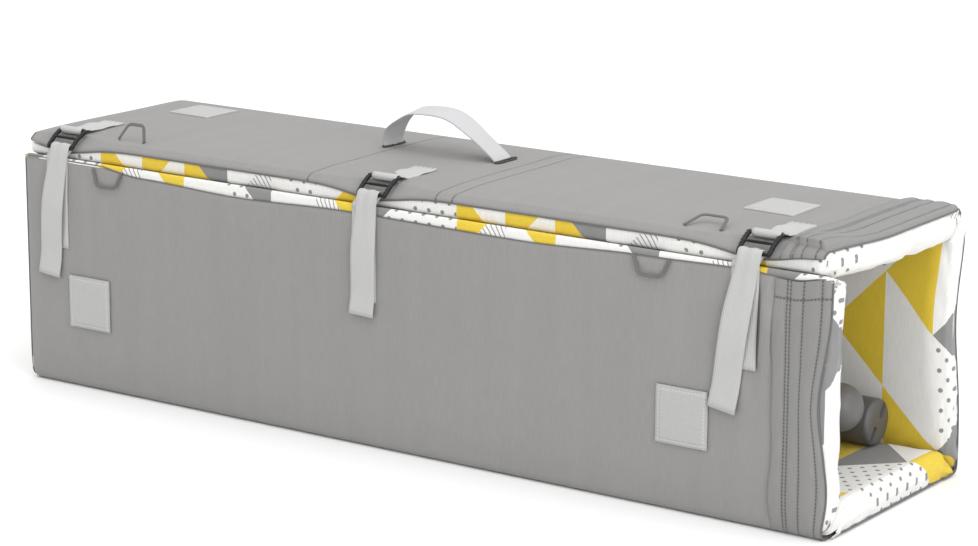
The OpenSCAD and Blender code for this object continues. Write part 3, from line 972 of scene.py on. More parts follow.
def tube_along(name, line, radius, material, sides=8):
    """A cord of round section along a line of points."""
    rows, uv_rows = [], []
    travel = 0.0
    for i, p in enumerate(line):
        d = direction(line, i)
        first = d.cross(Vector((0.3, 0.5, 0.81))).normalized()
        second = d.cross(first)
        if i:
            travel += (p - line[i - 1]).length
        size = radius if 0 < i < len(line) - 1 else radius * 0.6
        rows.append([p + (first * math.cos(a) + second * math.sin(a)) * size
                     for a in (2 * math.pi * k / sides for k in range(sides))])
        uv_rows.append([(travel, k * radius * 0.8) for k in range(sides)])
    return make_solid(name, flat(rows), tube_faces(len(rows), sides), material, flat(uv_rows))


# Where the cover bends at each fold: the two panels, and where the bend starts and ends
BEND = 0.016
TOP_BEND = 0.020
FOLDS = {
    "front": ("front_panel", "bottom_panel", (0, -HALF_W, BEND), (0, -HALF_W + BEND, 0)),
    "back": ("bottom_panel", "back_panel", (0, HALF_W - BEND, 0), (0, HALF_W, BEND)),
    "top": ("back_panel", "top_panel", (0, HALF_W, HEIGHT - TOP_BEND), (0, HALF_W - TOP_BEND, HEIGHT)),
}


def attach(item, panel):
    """A piece of the bottom panel's cover follows that panel; a piece of another panel's cover is left
    unattached where it lies.
    """
    if panel in FOLDS:
        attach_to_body(item, FOLDS[panel][0])
        item.parent = None
        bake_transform(item)
    else:
        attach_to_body(item, "bottom_panel")


def build_closing_seams():
    """Dark cords along the closing edges, between the grey cloth and the print: the sewn seam there, and
    painted shadow along it.
    """
    proud = 0.0004
    lid, front = [], []
    for k in range(111):
        x = (HALF_L - END_R) * (2 * k / 110 - 1)
        lid_z = HEIGHT - lid_shape(x)[1] - 0.0042
        lid.append(Vector((x + cloth_shift("top", x, LID_U), LID_Y - proud, lid_z)))
        z = front_seam(x)
        front.append(Vector((x + cloth_shift("front", x, z), -HALF_W - proud, z + proud)))
    for name, line, panel in (("lid_edge_seam", lid, "top_panel"),
                              ("front_edge_seam", front, "front_panel")):
        # Each dark cord is partly the seam and partly painted shadow along the closing edge.
        item = tube_along(name, line, 0.0008, MAT["piping"], 6)
        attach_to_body(item, panel)


COVER_STEP = 0.0065
BAND_STEP = 0.0026


def build_covers():
    """The grey cloth of each panel, the band over its right end, and the piping at both ends."""
    for panel in PANELS:
        cloth_end = BAND_X + (0.010 if panel != "bottom" else 0.0)
        cloth_places = stations(-HALF_L, cloth_end, COVER_STEP, True, False)
        cloth_look = MAT["top_cloth" if panel == "top" else "grey_cloth"]
        cloth, rows = grey_sheet(panel + "_cover_cloth", panel, cloth_places, cloth_look)
        band_places = stations(BAND_X, HALF_L, BAND_STEP, False, True)
        band_look = MAT["front_band_cloth" if panel == "front" else "band_cloth"]
        band, band_rows = grey_sheet(panel + "_band_cloth", panel, band_places, band_look, band=True)
        left_line = [p - ALONG_X * 0.0006 for p in rows[0]]
        left = tube_along(panel + "_left_piping", left_line, 0.0010, MAT["piping"])
        right_line = [p + ALONG_X * 0.0004 for p in band_rows[-1]]
        right = tube_along(panel + "_right_piping", right_line, 0.0009, MAT["piping"])
        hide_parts(panel + "_cover")
        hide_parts(panel + "_end_band")
        for item in (cloth, band, left, right):
            attach(item, panel)


# ---------------------------------------------------------------- the printed pads
def put(panel, x, u, w):
    """A point of a panel: u from its first fold, w from its outer face inwards."""
    return {
        "bottom": (x, -HALF_W + u, w),
        "front": (x, -HALF_W + w, u),
        "back": (x, HALF_W - w, u),
        "top": (x, HALF_W - u, HEIGHT - w),
    }[panel]


GIRTH = {"front": (-1, 0.0), "bottom": (1, 0.0), "back": (1, 2 * HALF_W), "top": (1, 2 * HALF_W + HEIGHT)}
INNER_MARGIN = {"front": -0.002, "top": 0.004}
PRINT_SHIFT = {"front": (0.0, -0.038), "top": (0.066, 0.166)}
FRONT_WALL_SHIFT = 0.168
INNER_RUN = {"front": 3, "top": 5, "bottom": 2, "back": 2}
INNER_U = {"bottom": 2 * HALF_W - FOLD_GAP - PAD_T, "back": HEIGHT - FOLD_GAP - PAD_T,
           "front": HEIGHT - PAD_T - FOLD_GAP, "top": 2 * HALF_W - PAD_T}


def pad_outline(panel, x, shrink=0.0):
    """A pad's closed outline in u and w, which of its points lie on the outer face, and the place of each
    round the mat, measured along the cloth from the inner face."""
    low = FOLD_GAP
    inner = INNER_U[panel]
    if panel == "front":
        top = FRONT_TOP - 0.0012
        corners = [(low, 0, 0.004), (front_seam(x), 0, 0), (top, 0, 0.0036), (inner, PAD_T, 0.007),
                   (low + PAD_T, PAD_T, 0.006)]
        counts = [24, 2, 5, 24, 6]
    elif panel == "top":
        turn_u, turn_w = lid_shape(x)
        corners = [(low, 0, 0.004), (turn_u, 0, 0.008), (LID_U, turn_w, 0.0045),
                   (LID_U, turn_w + LID_HEM, 0), (LID_U, 0.0215, 0.005), (inner, PAD_T, 0.007),
                   (low + PAD_T, PAD_T, 0.006)]
        counts = [24, 2, 1, 2, 4, 24, 6]
    else:
        corners = [(low, 0, 0.004), (inner + PAD_T, 0, 0.004), (inner, PAD_T, 0.006),
                   (low + PAD_T, PAD_T, 0.006)]
        counts = [24, 6, 24, 6]
    points, tags = bent_path(corners, counts, closed=True, arc=4)
    outer_runs = 3 if panel == "top" else 1
    last_turn = ("c", 1) if panel in ("bottom", "back") else None
    outer = [tag[1] < outer_runs or tag == last_turn for tag in tags]
    travel = lengths_of(points)
    first = tags.index(("s", INNER_RUN[panel]))
    sign, start = GIRTH[panel]
    girth = [start + sign * (points[first].x - (t - travel[first])) for t in travel]
    if shrink:
        points = [inwards(panel, p, shrink) for p in points]
    return points, outer, girth


def inwards(panel, p, depth):
    """A point of the outline moved in by depth, towards the middle of the pad."""
    first = FOLD_GAP + PAD_T / 2 + 0.021
    last = INNER_U[panel] - INNER_MARGIN.get(panel, 0.006)
    target = Vector((min(max(p.x, first), last), PAD_T * (0.55 if panel == "top" else 0.5)))
    way = target - p
    return p + way * min(0.94, depth / max(way.length, 1e-6))


# The end of a pad: its roll, then two rings inside its end wall
CAP = end_roll((15, 30, 50, 70, 90)) + [(END_R + 0.0010, 0.0105), (END_R + 0.0016, 0.0130)]
CLEAR_OF_CLOTH = 3
CAP_TRAVEL = lengths_of([Vector((0, 0)), *map(Vector, CAP)])


def pad_uv(panel, x, u, girth, cap, outer):
    """The place of a point on the print, which goes on round an end along the cloth to the outer face."""
    sign, first = GIRTH[panel]
    travel = abs(x)
    if cap:
        travel = HALF_L - END_R + CAP_TRAVEL[cap]
        girth += (first + sign * u - girth) * smooth_step(cap, 2, 6)
    if outer:
        girth = first + sign * u
        travel = 2 * (HALF_L - END_R + CAP_TRAVEL[-1]) - travel
    dx, dv = PRINT_SHIFT.get(panel, (0.0, 0.0))
    return math.copysign(travel, x) + dx, girth + dv


def end_wall_print(mesh, caps, columns):
    """The front panel's end walls are cut from another place of the printed cloth."""
    places = mesh.uv_layers.active.data
    for face in mesh.polygons:
        if min(caps[v // columns] for v in face.vertices) > 0:
            for loop in face.loop_indices:
                places[loop].uv.y += FRONT_WALL_SHIFT


def pad_faces(panel, rings, outline, outer):
    """The faces of a lining. It has none where grey cloth hides it."""
    columns = len(outline)
    faces = []
    for i, (near, far) in enumerate(zip(rings, rings[1:])):
        hidden = max(near[2], far[2]) <= CLEAR_OF_CLOTH
        if panel == "front" and min(near[0], far[0]) > BAND_X + 0.035:
            hidden = False
        for j in range(columns):
            if outer[j] and (hidden or outline[j].x < 0.010):
                continue
            k = (j + 1) % columns
            faces.append((i * columns + j, i * columns + k, (i + 1) * columns + k, (i + 1) * columns + j))
    last = (len(rings) - 1) * columns
    faces.append(tuple(reversed(range(columns))))
    faces.append(tuple(range(last, last + columns)))
    return faces


def printed_pad(panel):
    """The printed lining of one panel: its inner face, edges and end walls, up to the seams."""
    edge = HALF_L - END_R
    cap = [(edge + along, depth, k) for k, (along, depth) in enumerate(CAP, 1)]
    rings = list(reversed(cap))
    rings += [(edge - 2 * edge * k / 120, 0.0, 0) for k in range(121)]
    rings += [(-x, depth, k) for x, depth, k in cap]
    points, uvs = [], []
    for x, depth, cap in rings:
        outline, outer, girth = pad_outline(panel, x)
        for p, v, outside in zip(outline, girth, outer):
            gather = 0.0012 * (wobble(v, x, 0.012, 12.0) - 0.5) if 0 < cap <= 5 else 0.0
            q = inwards(panel, p, depth + gather) if depth else p
            points.append(Vector(put(panel, x + end_shift(panel, x, q.x), q.x, q.y)))
            uvs.append(pad_uv(panel, x, q.x, v, cap, outside))
    faces = pad_faces(panel, rings, outline, outer)
    item = make_object(panel + "_printed_lining", points, faces, MAT["print"], uvs)
    if panel == "front":
        end_wall_print(item.data, [r[2] for r in rings], len(outline))
    work = bmesh.new()
    work.from_mesh(item.data)
    bmesh.ops.triangulate(work, faces=[f for f in work.faces if len(f.verts) > 4])
    loose = [v for v in work.verts if not v.link_faces]
    bmesh.ops.delete(work, geom=loose, context="VERTS")
    bmesh.ops.recalc_face_normals(work, faces=work.faces)
    probe = max(work.faces, key=lambda f: f.calc_center_median().x)
    if probe.normal.x < 0:
        bmesh.ops.reverse_faces(work, faces=work.faces)
    work.to_mesh(item.data)
    work.free()
    return item


# Cloth filled with air: its stiffness, the pressure inside it and how much it has shrunk
SWELLING = {"quality": 6, "mass": 0.15, "tension_stiffness": 18, "compression_stiffness": 8,
            "shear_stiffness": 6, "bending_stiffness": 0.06, "use_pressure": True,
            "uniform_pressure_force": 3.5, "shrink_min": -0.012, "vertex_group_mass": "pins"}
SWELLING_FRAMES = 20


def swell(item, cap, still):
    """Fills a lining with air pressure as cloth, pinned where still(point) is true, by no more than cap."""
    mesh = item.data
    rest = np.empty(len(mesh.vertices) * 3)
    mesh.vertices.foreach_get("co", rest)
    rest = rest.reshape(-1, 3)
    pins = item.vertex_groups.new(name="pins")
    border = {v for e in border_edges(mesh) for v in e}
    held = [i for i, p in enumerate(rest) if i in border or still(p)]
    pins.add(held, 1.0, "REPLACE")
    cloth = item.modifiers.new("swell", "CLOTH")
    for key, value in SWELLING.items():
        setattr(cloth.settings, key, value)
    cloth.settings.effector_weights.gravity = 0
    scene = bpy.context.scene
    for number in range(1, SWELLING_FRAMES + 1):
        scene.frame_set(number)
    graph = bpy.context.evaluated_depsgraph_get()
    swollen = item.evaluated_get(graph).to_mesh()
    moved = np.empty(len(rest) * 3)
    swollen.vertices.foreach_get("co", moved)
    move = moved.reshape(-1, 3) - rest
    size = np.linalg.norm(move, axis=1, keepdims=True)
    move *= np.minimum(1.0, cap / np.maximum(size, 1e-9))
    item.modifiers.clear()
    item.vertex_groups.clear()
    mesh.vertices.foreach_set("co", (rest + move).ravel())
    mesh.update()
    scene.frame_set(1)


def border_edges(mesh):
    """The open edges of a mesh, as pairs of points."""
    work = bmesh.new()
    work.from_mesh(mesh)
    found = [(e.verts[0].index, e.verts[1].index) for e in work.edges if e.is_boundary]
    work.free()
    return found


def panel_depth(panel, p):
    """How deep a point is inside its panel, from the outer face."""
    return {"bottom": p[2], "front": p[1] + HALF_W, "back": HALF_W - p[1], "top": HEIGHT - p[2]}[panel]


def foam_block(panel):
    """The foam inside a panel, a plain soft block that the lining is drawn over."""
    rings = [(-HALF_L + 0.004 + 0.008 * (1 - math.cos(a)), 0.0035 + 0.008 * (1 - math.sin(a)))
             for a in map(math.radians, (0, 30, 60, 90))]
    rings += [(-HALF_L + 0.012 + (2 * HALF_L - 0.024) * k / 24, 0.0035) for k in range(1, 24)]
    rings += [(-x, depth) for x, depth in reversed(rings[:4])]
    points = []
    for x, depth in rings:
        outline = pad_outline(panel, STRAP_X["middle"], shrink=depth)[0]
        for p in outline:
            points.append(Vector(put(panel, x + end_shift(panel, x, p.x), p.x, max(p.y, 0.0050))))
    faces = tube_faces(len(rings), len(outline))
    uvs = [(p.x, p.y + p.z) for p in points]
    return make_solid(panel + "_foam_block", points, faces, MAT["foam"], uvs)


def build_pads():
    """Each panel's printed lining, swollen, with the foam inside it."""
    for panel in PANELS:
        lining = printed_pad(panel)
        most = 0.0022 if panel == "bottom" else 0.0030
        swell(lining, most, lambda p: panel_depth(panel, p) < PAD_T * 0.86 and abs(p[0]) < HALF_L - 0.0005)
        thicken(lining)
        foam = foam_block(panel)
        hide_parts(panel + "_lining")
        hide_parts(panel + "_foam")
        for item in (lining, foam):
            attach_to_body(item, panel + "_panel")


# ---------------------------------------------------------------- webbing
def front_skin(x, z):
    """Y of the front panel's cloth."""
    return -HALF_W - front_fullness(x, z)


def top_skin(x, y):
    """Z of the top panel's cloth."""
    turn_u, turn_w = lid_shape(x)
    drop = smooth_step(HALF_W - y, turn_u - 0.004, LID_U) * turn_w
    return HEIGHT + top_fullness(x, y) - drop


def ribbon(name, line, across, width, thickness, material, ends=None, gathered=None):
    """Webbing along a line: a flat rounded section, across being its width direction at each point.
    ends gives how far each place across stands past the last point, and gathered(i) the share of its
    width that the webbing is bunched to at a point."""
    steps = 10
    section = [(-0.5 + k / steps, 0.5) for k in range(steps + 1)]
    section += [(0.5 - k / steps, -0.5) for k in range(steps + 1)]
    rows, uv_rows = [], []
    travel = 0.0
    for i, p in enumerate(line):
        d = direction(line, i)
        side = across[i].normalized()
        up = d.cross(side).normalized()
        if i:
            travel += (p - line[i - 1]).length
        row, uv_row = [], []
        narrow = gathered(i) if gathered else 1.0
        for a, b in section:
            rim = 1 - 0.55 * smooth_step(abs(a), 0.44, 0.5)
            past = ends(a) if ends and i == len(line) - 1 else 0.0
            bunch = math.sin(a * 13.0) * (1 - narrow) * 0.0035
            row.append(p + side * a * width * narrow + up * (b * thickness * rim + bunch) + d * past)
            uv_row.append((travel, (a + 0.5) * width))
        rows.append(row)
        uv_rows.append(uv_row)
    faces = flat_tube_faces(len(rows), len(section))
    return make_solid(name, flat(rows), faces, material, flat(uv_rows))


def build_strap(side):
    """The sewn layer of a strap, against the front panel."""
    low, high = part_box(side + "_sewn_strap")
    x = (low.x + high.x) / 2
    line = []
    for k in range(17):
        z = low.z + (high.z - low.z) * k / 16
        skin = min(front_skin(x + across, z) for across in (-STRAP_W / 2, STRAP_W / 2, 0))
        line.append(Vector((x, skin - STRAP_T * 0.5, z)))
    sewn = ribbon(side + "_sewn_strap_webbing", line, [ALONG_X] * len(line), STRAP_W, STRAP_T,
                  MAT["webbing"])
    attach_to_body(sewn, "front_panel")
    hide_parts(side + "_sewn_strap")
    build_tail(side, line[-1])


def build_tail(side, start):
    """The rest of a strap: from the sewn layer's top, over the buckle's front bar and down the front."""
    x = STRAP_X[side]
    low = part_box(side + "_strap_tail")[0]
    bar = buckle_spot(side, FRONT_BAR)
    pivot = Vector(JOINT[side + "_tail_lift"]["pos_m"])
    loop = [start + Vector((0, -0.0006, -0.004)), start + Vector((0, -0.0004, 0.001))]
    for a in map(math.radians, (20, 60, 100, 140, 175)):
        loop.append(Vector((x, bar.y + math.cos(a) * 0.0045, bar.z + math.sin(a) * 0.0042)))
    loop.append(Vector((x, pivot.y + 0.0002, pivot.z + 0.001)))
    foot_x = low.x + STRAP_W / 2 + 0.002
    drop = pivot.z - low.z - 0.002
    slack = 0.0027 if side == "middle" else 0.0045
    count = 22
    for k in range(1, count + 1):
        t = k / count
        bow = slack * math.sin(math.pi * min(1.0, t * 1.15))
        bow += 0.003 * smooth_step(t, 0.75, 1.0) + 0.0016 * smooth_step(t, 0.08, 0.45)
        loop.append(Vector((x + (foot_x - x) * t, pivot.y - bow, pivot.z - drop * t)))
    lean = Vector((foot_x - x, 0, low.z - pivot.z)).normalized()
    tail_across = Vector((-lean.z, 0, lean.x))
    across = [ALONG_X.lerp(tail_across, smooth_step(i, 3, 9)) for i in range(len(loop))]
    tail = ribbon(side + "_strap_tail_webbing", loop, across, STRAP_W, STRAP_T, MAT["webbing"],
                  gathered=lambda i: 1 - 0.15 * smooth_step(i, 0, 3) * (1 - smooth_step(i, 7, 16)))
    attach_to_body(tail, "front_panel")
    tail.parent = None
    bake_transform(tail)
    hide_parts(side + "_strap_tail", side + "_strap_loop")


# Each cross bar of a buckle: its share of the way to the front edge, its lift and its size
FRONT_BAR = 0.90
CROSS_BARS = ((0.0, 0.0, 0.0040), (0.48, 0.0016, 0.0034), (FRONT_BAR, 0.0, 0.0040))
SIDE_BAR = (0.0046, 0.0050)


def buckle_spot(side, share):
    """A point along the middle of a buckle, from its tab bar to its front bar."""
    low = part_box(side + "_buckle")[0]
    pivot = Vector(JOINT[side + "_buckle_lift"]["pos_m"])
    front = Vector((pivot.x, low.y + 0.002, low.z + 0.002))
    return pivot.lerp(front, share)


def rounded_bar(points, width, height, steps=10):
    """A closed bar of rounded section along points, as points and faces."""
    made = []
    for i, p in enumerate(points):
        d = direction(points, i)
        side = Vector((0, 0, 1)).cross(d)
        side = side.normalized() if side.length > 0.01 else ALONG_X
        up = d.cross(side).normalized()
        end = 0.55 if i in (0, len(points) - 1) else 1.0
        for k in range(steps):
            a = 2 * math.pi * k / steps
            ca, sa = math.cos(a), math.sin(a)
            fat = 1 / max(abs(ca), abs(sa)) ** 0.6
            made.append(p + (side * ca * width / 2 + up * sa * height / 2) * fat * end * 0.92)
    return made, tube_faces(len(points), steps)


def spread(wide, t):
    """Half the distance between a buckle's side bars, which come closer together towards the strap."""
    return wide * (1 - 0.06 * max(0.0, t))


def build_buckle(side):
    """A ladder-lock frame: two thick side bars with ridges, bowed over the edge, and three cross bars."""
    low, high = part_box(side + "_buckle")
    wide = (high.x - low.x) / 2 - 0.0048
    points, faces = [], []

    def add(bar):
        offset = len(points)
        points.extend(bar[0])
        faces.extend(tuple(i + offset for i in face) for face in bar[1])

    for sign in (-1, 1):
        line = []
        for k in range(15):
            t = -0.07 + 1.07 * k / 14
            bow = 0.0022 * math.sin(math.pi * min(1, max(0, t)))
            line.append(buckle_spot(side, t) + Vector((sign * spread(wide, t), 0, bow)))
        add(rounded_bar(line, *SIDE_BAR))
        for p in line[2:13:2]:
            ridge = [p + Vector(at) for at in ((-0.0027, 0, 0.0010), (0, 0, 0.0016), (0.0027, 0, 0.0010))]
            add(rounded_bar(ridge, 0.0018, 0.0036, 6))
    for share, lift, size in CROSS_BARS:
        p = buckle_spot(side, share) + Vector((0, 0, lift))
        half = spread(wide, share)
        add(rounded_bar([p + Vector((sx * half, 0, 0)) for sx in (-1, -0.5, 0, 0.5, 1)], size, size, 8))
    item = make_solid(side + "_buckle_frame", points, faces, MAT["black"])
    modify(item, "REMESH", mode="VOXEL", voxel_size=0.00062, use_smooth_shade=True)
    modify(item, "SMOOTH", factor=0.5, iterations=2)
    settle(item)
    item.data.materials.clear()
    item.data.materials.append(MAT["black"])
    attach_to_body(item, side + "_buckle_body")
    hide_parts(side + "_buckle")


def pinked(a):
    """The saw-tooth end of a tab: how far it stands past the end at each place across."""
    return 0.0032 * (0.5 - abs((a + 0.5) * 5 % 1 - 0.5)) * 2


def build_tab(side):
    """A short tab, turned round the buckle's first bar and lying on the lid up to its pinked end."""
    low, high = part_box(side + "_buckle_tab")
    pivot = Vector(JOINT[side + "_buckle_lift"]["pos_m"])
    x = (low.x + high.x) / 2
    width = high.x - low.x
    turn = map(math.radians, (-60, -95, -130, -165, -200, -235, -270, -300))
    line = [Vector((x, pivot.y + 0.0035 * math.cos(a), pivot.z + 0.0035 * math.sin(a))) for a in turn]
    first_y = pivot.y + 0.006
    for k in range(15):
        y = first_y + (high.y - 0.003 - first_y) * k / 14
        rise = 0.0009 + 0.0006 * math.sin(k * 0.9) + 0.0042 * (1 - smooth_step(k, 0, 2.5))
        line.append(Vector((x, y, top_skin(x, y) + rise)))
    across = [Vector((1, 0, 0.02 * math.sin(i * 0.7) if i > 8 else 0)) for i in range(len(line))]
    item = ribbon(side + "_tab_webbing", line, across, width * 0.96, STRAP_T, MAT["tab"], ends=pinked)
    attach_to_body(item, "top_panel")
    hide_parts(side + "_buckle_tab")


# The handle's arch, from slot to slot: shares of half its width and of its rise
HANDLE_ARCH = [(-1.0, -0.09), (-1.0, 0.22), (-0.90, 0.52), (-0.70, 0.78), (-0.48, 0.955), (-0.20, 1.0),
               (0.08, 0.985), (0.28, 0.885), (0.52, 0.640), (0.76, 0.340), (0.94, 0.10), (1.0, -0.09)]
HANDLE_T = 0.0022


def build_handle():
    """The carrying handle: webbing out of one slot, over in a flat-topped arch and into the other slot."""
    low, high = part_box("handle_ends")
    grip_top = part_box("handle_grip")[1].z
    y = (low.y + high.y) / 2
    centre_x = (low.x + high.x) / 2
    half = (high.x - low.x) / 2 - STRAP_T
    rise = grip_top - HEIGHT
    line = smooth_line([Vector((centre_x + half * a, y - 0.010 * max(0.0, b), HEIGHT + rise * b))
                        for a, b in HANDLE_ARCH], 5)
    count = len(line) - 1
    across = []
    for k in range(count + 1):
        t = k / count
        twist = 0.26 * hump(t, 0.16, 0.10) - 0.12 * hump(t, 0.80, 0.10)
        across.append(Vector((twist, 1, 0.16 * math.sin(math.pi * t))))
    item = ribbon("handle_webbing", line, across, STRAP_W, HANDLE_T, MAT["handle"])
    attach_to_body(item, "top_panel")
    item.parent = None
    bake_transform(item)
    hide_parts("handle_grip", "handle_ends")
    for name, x in (("left", low.x + 0.0008), ("right", high.x - 0.0008)):
        build_slot_trim(name, x, y)


def build_slot_trim(name, x, y):
    """The overcast edge of a handle slot: a ring of close thread."""
    line = []
    for k in range(49):
        a = 2 * math.pi * k / 48
        ca, sa = math.cos(a), math.sin(a)
        px = x + math.copysign(abs(ca) ** 0.9, ca) * 0.0030
        py = y + math.copysign(abs(sa) ** 0.5, sa) * 0.0178
        line.append(Vector((px, py, top_skin(px, py) + 0.0006 + 0.0003 * math.sin(k * 3.0))))
    item = tube_along("handle_slot_%s_edge" % name, line, 0.0014, MAT["thread"])
    if name == "left":
        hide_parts("handle_slot_trims")
    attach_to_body(item, "top_panel")


def build_patch(name, centre, on_front):
    """A square of loop pile sewn down at its edge, a little fuller in the middle."""
    size = PATCH_SIZE
    steps = 18
    rows, uv_rows = [], []
    for i in range(steps + 1):
        row, uv_row = [], []
        for j in range(steps + 1):
            a, b = size * i / steps, size * j / steps
            edge = min(a, b, size - a, size - b)
            rise = 0.0009 + 0.0010 * smooth_step(edge, 0.0, 0.006)
            x = centre[0] - size / 2 + a
            v = centre[1] - size / 2 + b
            corner = 0.0007 if i in (0, steps) and j in (0, steps) else 0.0
            if on_front:
                row.append(Vector((x, front_skin(x, v) - rise, v)))
            else:
                row.append(Vector((x, v, top_skin(x, v) + rise - corner)))
            uv_row.append((a, b))
        rows.append(row)
        uv_rows.append(uv_row)
    if not on_front:
        rows = [list(reversed(row)) for row in rows]
        uv_rows = [list(reversed(row)) for row in uv_rows]
    item = cloth_grid(name, rows, uv_rows, MAT["pile"])
    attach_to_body(item, "front_panel" if on_front else "top_panel")
    return item


def build_patches():
    """Two patches on the front and two on the top."""
    for node, on_front in (("front_patches", True), ("top_patches", False)):
        low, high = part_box(node)
        half = PATCH_SIZE / 2
        up = "z" if on_front else "y"
        left = build_patch(node[:-3] + "_left", (low.x + half, getattr(high, up) - half), on_front)
        build_patch(node[:-3] + "_right", (high.x - half, getattr(low, up) + half), on_front)
        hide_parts(node)


# For each pull: its half width at the root and the tip, its reach, and how steeply it stands up
PULL_SHAPES = {"front_left": (0.020, 0.0125, 0.018, 8), "front_right": (0.020, 0.0125, 0.018, 8),
               "top_left": (0.0180, 0.0105, 0.0185, 62), "top_right": (0.0205, 0.0140, 0.024, 15)}
PULL_W = 0.0036
PULL_T = 0.0012


def build_pull(name):
    """A pull of narrow tape, sewn at both ends."""
    on_front = name.startswith("front")
    low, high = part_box(name + "_pull")
    x = (low.x + high.x) / 2
    root = high.z if on_front else low.y - 0.003 * (name == "top_right")
    half, tip, reach, rise = PULL_SHAPES[name]
    lean = math.radians(rise)
    outline = bent_path([(-half, 0, 0), (-tip, reach, 0.008), (tip, reach, 0.008), (half, 0, 0)],
                        [6, 6, 6], arc=7)[0]
    line, across = [], []
    for i, p in enumerate(outline):
        d = direction(outline, i)
        px = x + p.x
        out = 0.0014 + p.y * math.sin(lean)
        if on_front:
            z = root - p.y * math.cos(lean)
            line.append(Vector((px, front_skin(px, z) - out, z)))
            across.append(Vector((-d.y, -0.35, -d.x)))
        else:
            y = root + p.y * math.cos(lean)
            line.append(Vector((px, y, top_skin(px, y) + out)))
            across.append(Vector((-d.y, d.x * math.cos(lean) + 0.25, d.x * math.sin(lean) + 0.1)))
    item = ribbon(name + "_pull_tape", line, across, PULL_W, PULL_T, MAT["tape"])
    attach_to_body(item, name + "_loop")
    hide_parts(name + "_pull")


# ---------------------------------------------------------------- the folded frame
def ring(x, radius, steps=48):
    """A circle of points about X."""
    turns = [2 * math.pi * k / steps for k in range(steps)]
    return [Vector((x, radius * math.cos(a), radius * math.sin(a))) for a in turns]


def foot_spots(node):
    """Both ends of a pair of feet along the case, and the Y and Z of each."""
    low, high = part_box(node)
    z = (low.z + high.z) / 2
    return low.x, high.x, [(low.y + FOOT_R, z), (high.y - FOOT_R, z)]


def build_foot(name, x0, x1, y, z, domed):
    """A hollow foot for a tube, with a flat or a domed outer end."""
    r = FOOT_R
    profile = [(x0, 0.0152), (x0, r - 0.003), (x0 + 0.001, r - 0.001), (x0 + 0.003, r)]
    profile += [(x0 + 0.004 + (x1 - x0 - 0.03) * k / 10, r) for k in range(11)]
    if domed:
        start = x1 - r
        profile = [p for p in profile if p[0] < start - 0.001]
        profile += [(start + (r - 0.001) * math.sin(a), r * math.cos(a) ** 0.9)
                    for a in map(math.radians, (0, 12, 24, 36, 48, 60, 70, 78, 84, 88))]
    else:
        profile += [(x1 - 0.004, r), (x1 - 0.0022, r - 0.0006), (x1 - 0.0008, r - 0.0018),
                    (x1, r - 0.0040), (x1, r - 0.009), (x1, 0.004), (x1, 0.0004)]
    steps = 48
    points = flat(ring(*p) for p in profile)
    faces = grid_faces(len(profile), steps, wrap=True)
    offset = len(points)
    faces.append(tuple(range(offset - steps, offset)))
    points += ring(x0 + 0.030, FOOT_BORE_R)
    faces += [(k, (k + 1) % steps, offset + (k + 1) % steps, offset + k) for k in range(steps)]
    faces.append(tuple(range(offset, offset + steps)))
    points = [p + Vector((0, y, z)) for p in points]
    item = make_solid(name, points, faces, MAT["pale_plastic" if domed else "grey_plastic"],
                      [(p.x, p.y) for p in points])
    if not domed:
        cut_slots(item, x1, y, z)
    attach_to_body(item, "folded_frame")
    return item


def cut_slots(item, x1, y, z):
    """Two slanted round-ended slots in the end face of a foot, and its worn edges."""
    slant = math.radians(35)
    way = Vector((0, math.sin(slant), math.cos(slant)))
    cross = Vector((0, way.z, -way.y))
    half_length, radius, steps = 0.0056, 0.0034, 24
    for sign in (-1, 1):
        centre = Vector((0, y + sign * 0.009, z + sign * 0.011))
        outline = []
        for k in range(steps):
            a = 2 * math.pi * k / steps
            reach = math.copysign(half_length, math.cos(a)) + radius * math.cos(a)
            outline.append(centre + way * reach + cross * radius * math.sin(a))
        points = [p + Vector((x, 0, 0)) for x in (x1 - 0.010, x1 + 0.004) for p in outline]
        cutter = make_solid("slot_cutter", points, tube_faces(2, steps), MAT["grey_plastic"])
        modify(item, "BOOLEAN", operation="DIFFERENCE", solver="EXACT", object=cutter)
        settle(item)
        bpy.data.objects.remove(cutter)
    modify(item, "BEVEL", width=0.0005, segments=2, limit_method="ANGLE", angle_limit=math.radians(50))
    settle(item)
    item.data.polygons.foreach_set("use_smooth", np.ones(len(item.data.polygons), bool))
    item.data.set_sharp_from_angle(angle=math.radians(40))


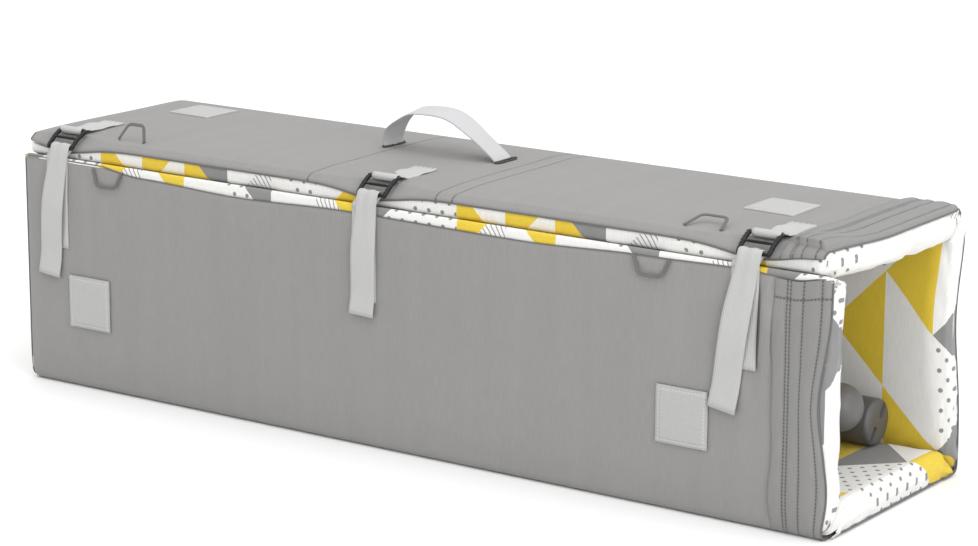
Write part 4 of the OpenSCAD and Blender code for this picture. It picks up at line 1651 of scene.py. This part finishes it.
def build_net():
    """The netting of the four sides, folded to and fro in a soft stack on the tubes."""
    low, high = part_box("net_bundle")
    layers = 4
    pitch = (high.z - low.z) / layers
    thick = pitch * 0.80
    half_y = (high.y - low.y) / 2 - 0.004
    centre_line = []
    for layer in range(layers):
        z = low.z + pitch * (layer + 0.5)
        ys = [half_y * (1 - 2 * k / 24) for k in range(25)]
        if layer % 2:
            ys.reverse()
        centre_line += [Vector((y * (1 - 0.03 * (layer == 1)), z)) for y in ys[1:-1]]
        if layer < layers - 1:
            end = ys[-1]
            for k in range(1, 6):
                a = math.pi * k / 6
                centre_line.append(Vector((end + math.copysign(math.sin(a) * pitch * 0.45 - 0.004, end),
                                           z + pitch * 0.5 * (1 - math.cos(a)))))
    sides = normals_of(centre_line)
    travel = lengths_of(centre_line)
    outline = [(p + s * thick / 2, t) for p, s, t in zip(centre_line, sides, travel)]
    outline += [(p - s * thick / 2, t) for p, s, t in reversed(list(zip(centre_line, sides, travel)))]
    count = 70
    middle_y, middle_z = (low.y + high.y) / 2, (low.z + high.z) / 2
    points, uvs = [], []
    for k in range(count + 1):
        x = low.x + 0.004 + (high.x - low.x - 0.008) * k / count
        end = min(k, count - k)
        pinch = 1 - 0.14 * (1 - smooth_step(end, 0, 4))
        for p, t in outline:
            ripple = 0.0016 * noise.noise(Vector((x * 14, p.x * 18, t * 9)))
            ragged = 0.006 * noise.noise(Vector((t * 7, p.x * 20, 5))) if end == 0 else 0.0
            points.append(Vector((x + ragged, middle_y + (p.x + ripple) * (pinch * 0.5 + 0.5),
                                  middle_z + (p.y - middle_z + ripple * 0.8) * pinch)))
            uvs.append((x, t))
    faces = flat_tube_faces(count + 1, len(outline))
    item = make_solid("folded_netting", points, faces, MAT["netting"], uvs)
    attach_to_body(item, "folded_frame")
    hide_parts("net_bundle")


def build_frame_parts():
    """The looks of the parts that are drawn as they are in the frame, and the feet."""
    looks = {node: "tube" for node in ("leg_tubes", "rail_tubes", "base_arms")}
    for node in ("corner_castings", "rail_latches", "arm_brackets", "centre_hub"):
        looks[node] = "grey_plastic"
    looks["hinge_pins"] = "steel"
    looks.update({"latch_button_%d" % k: "red_plastic" for k in range(1, 5)})
    looks.update({panel + "_board": "board" for panel in PANELS})
    for node, look in looks.items():
        item = frame["nodes"][node]
        item.data.materials.clear()
        item.data.materials.append(MAT[look])
    for node, domed in (("slotted_feet", False), ("domed_feet", True)):
        x0, x1, spots = foot_spots(node)
        for k, (y, z) in enumerate(spots, 1):
            item = build_foot("%s_%d" % (node.replace("feet", "foot"), k), x0, x1, y, z, domed)
            if k == 1:
                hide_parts(node)


# ---------------------------------------------------------------- floor and light
def build_studio():
    """White paper under the case, an even white surround, a broad sun and a lamp towards the mouth."""
    mesh = bpy.data.meshes.new("floor")
    mesh.from_pydata([(-9, -9, 0), (9, -9, 0), (9, 9, 0), (-9, 9, 0)], [], [(0, 1, 2, 3)])
    floor = add_object("floor", mesh)
    paint = bpy.data.materials.new("floor paper")
    paint.use_nodes = True
    shader = paint.node_tree.nodes["Principled BSDF"]
    shader.inputs["Base Color"].default_value = (0.84, 0.84, 0.84, 1)
    shader.inputs["Roughness"].default_value = 0.9
    mesh.materials.append(paint)
    world = bpy.data.worlds.new("studio")
    bpy.context.scene.world = world
    world.use_nodes = True
    background = world.node_tree.nodes["Background"]
    background.inputs["Color"].default_value = (1, 1, 1, 1)
    background.inputs["Strength"].default_value = 1.03
    sky = bpy.data.lights.new("overhead", "SUN")
    sky.energy = 1.45
    sky.angle = math.radians(70)
    overhead = add_object("overhead", sky)
    overhead.rotation_euler = (math.radians(8), math.radians(14), 0)
    data = bpy.data.lights.new("mouth side", "AREA")
    data.shape = "DISK"
    data.size = 1.6
    data.energy = 29
    lamp = add_object("mouth side", data)
    lamp.location = (3.0, -1.5, 1.1)
    aim = Vector((0.45, 0, 0.12)) - lamp.location
    lamp.rotation_euler = aim.to_track_quat("-Z", "Y").to_euler()
    bpy.context.scene.view_settings.view_transform = "Standard"


build_covers()
build_closing_seams()
build_pads()
for side in SIDES:
    build_strap(side)
    build_buckle(side)
    build_tab(side)
build_handle()
build_patches()
for name in ("front_left", "front_right", "top_left", "top_right"):
    build_pull(name)
build_frame_parts()
build_net()
build_studio()
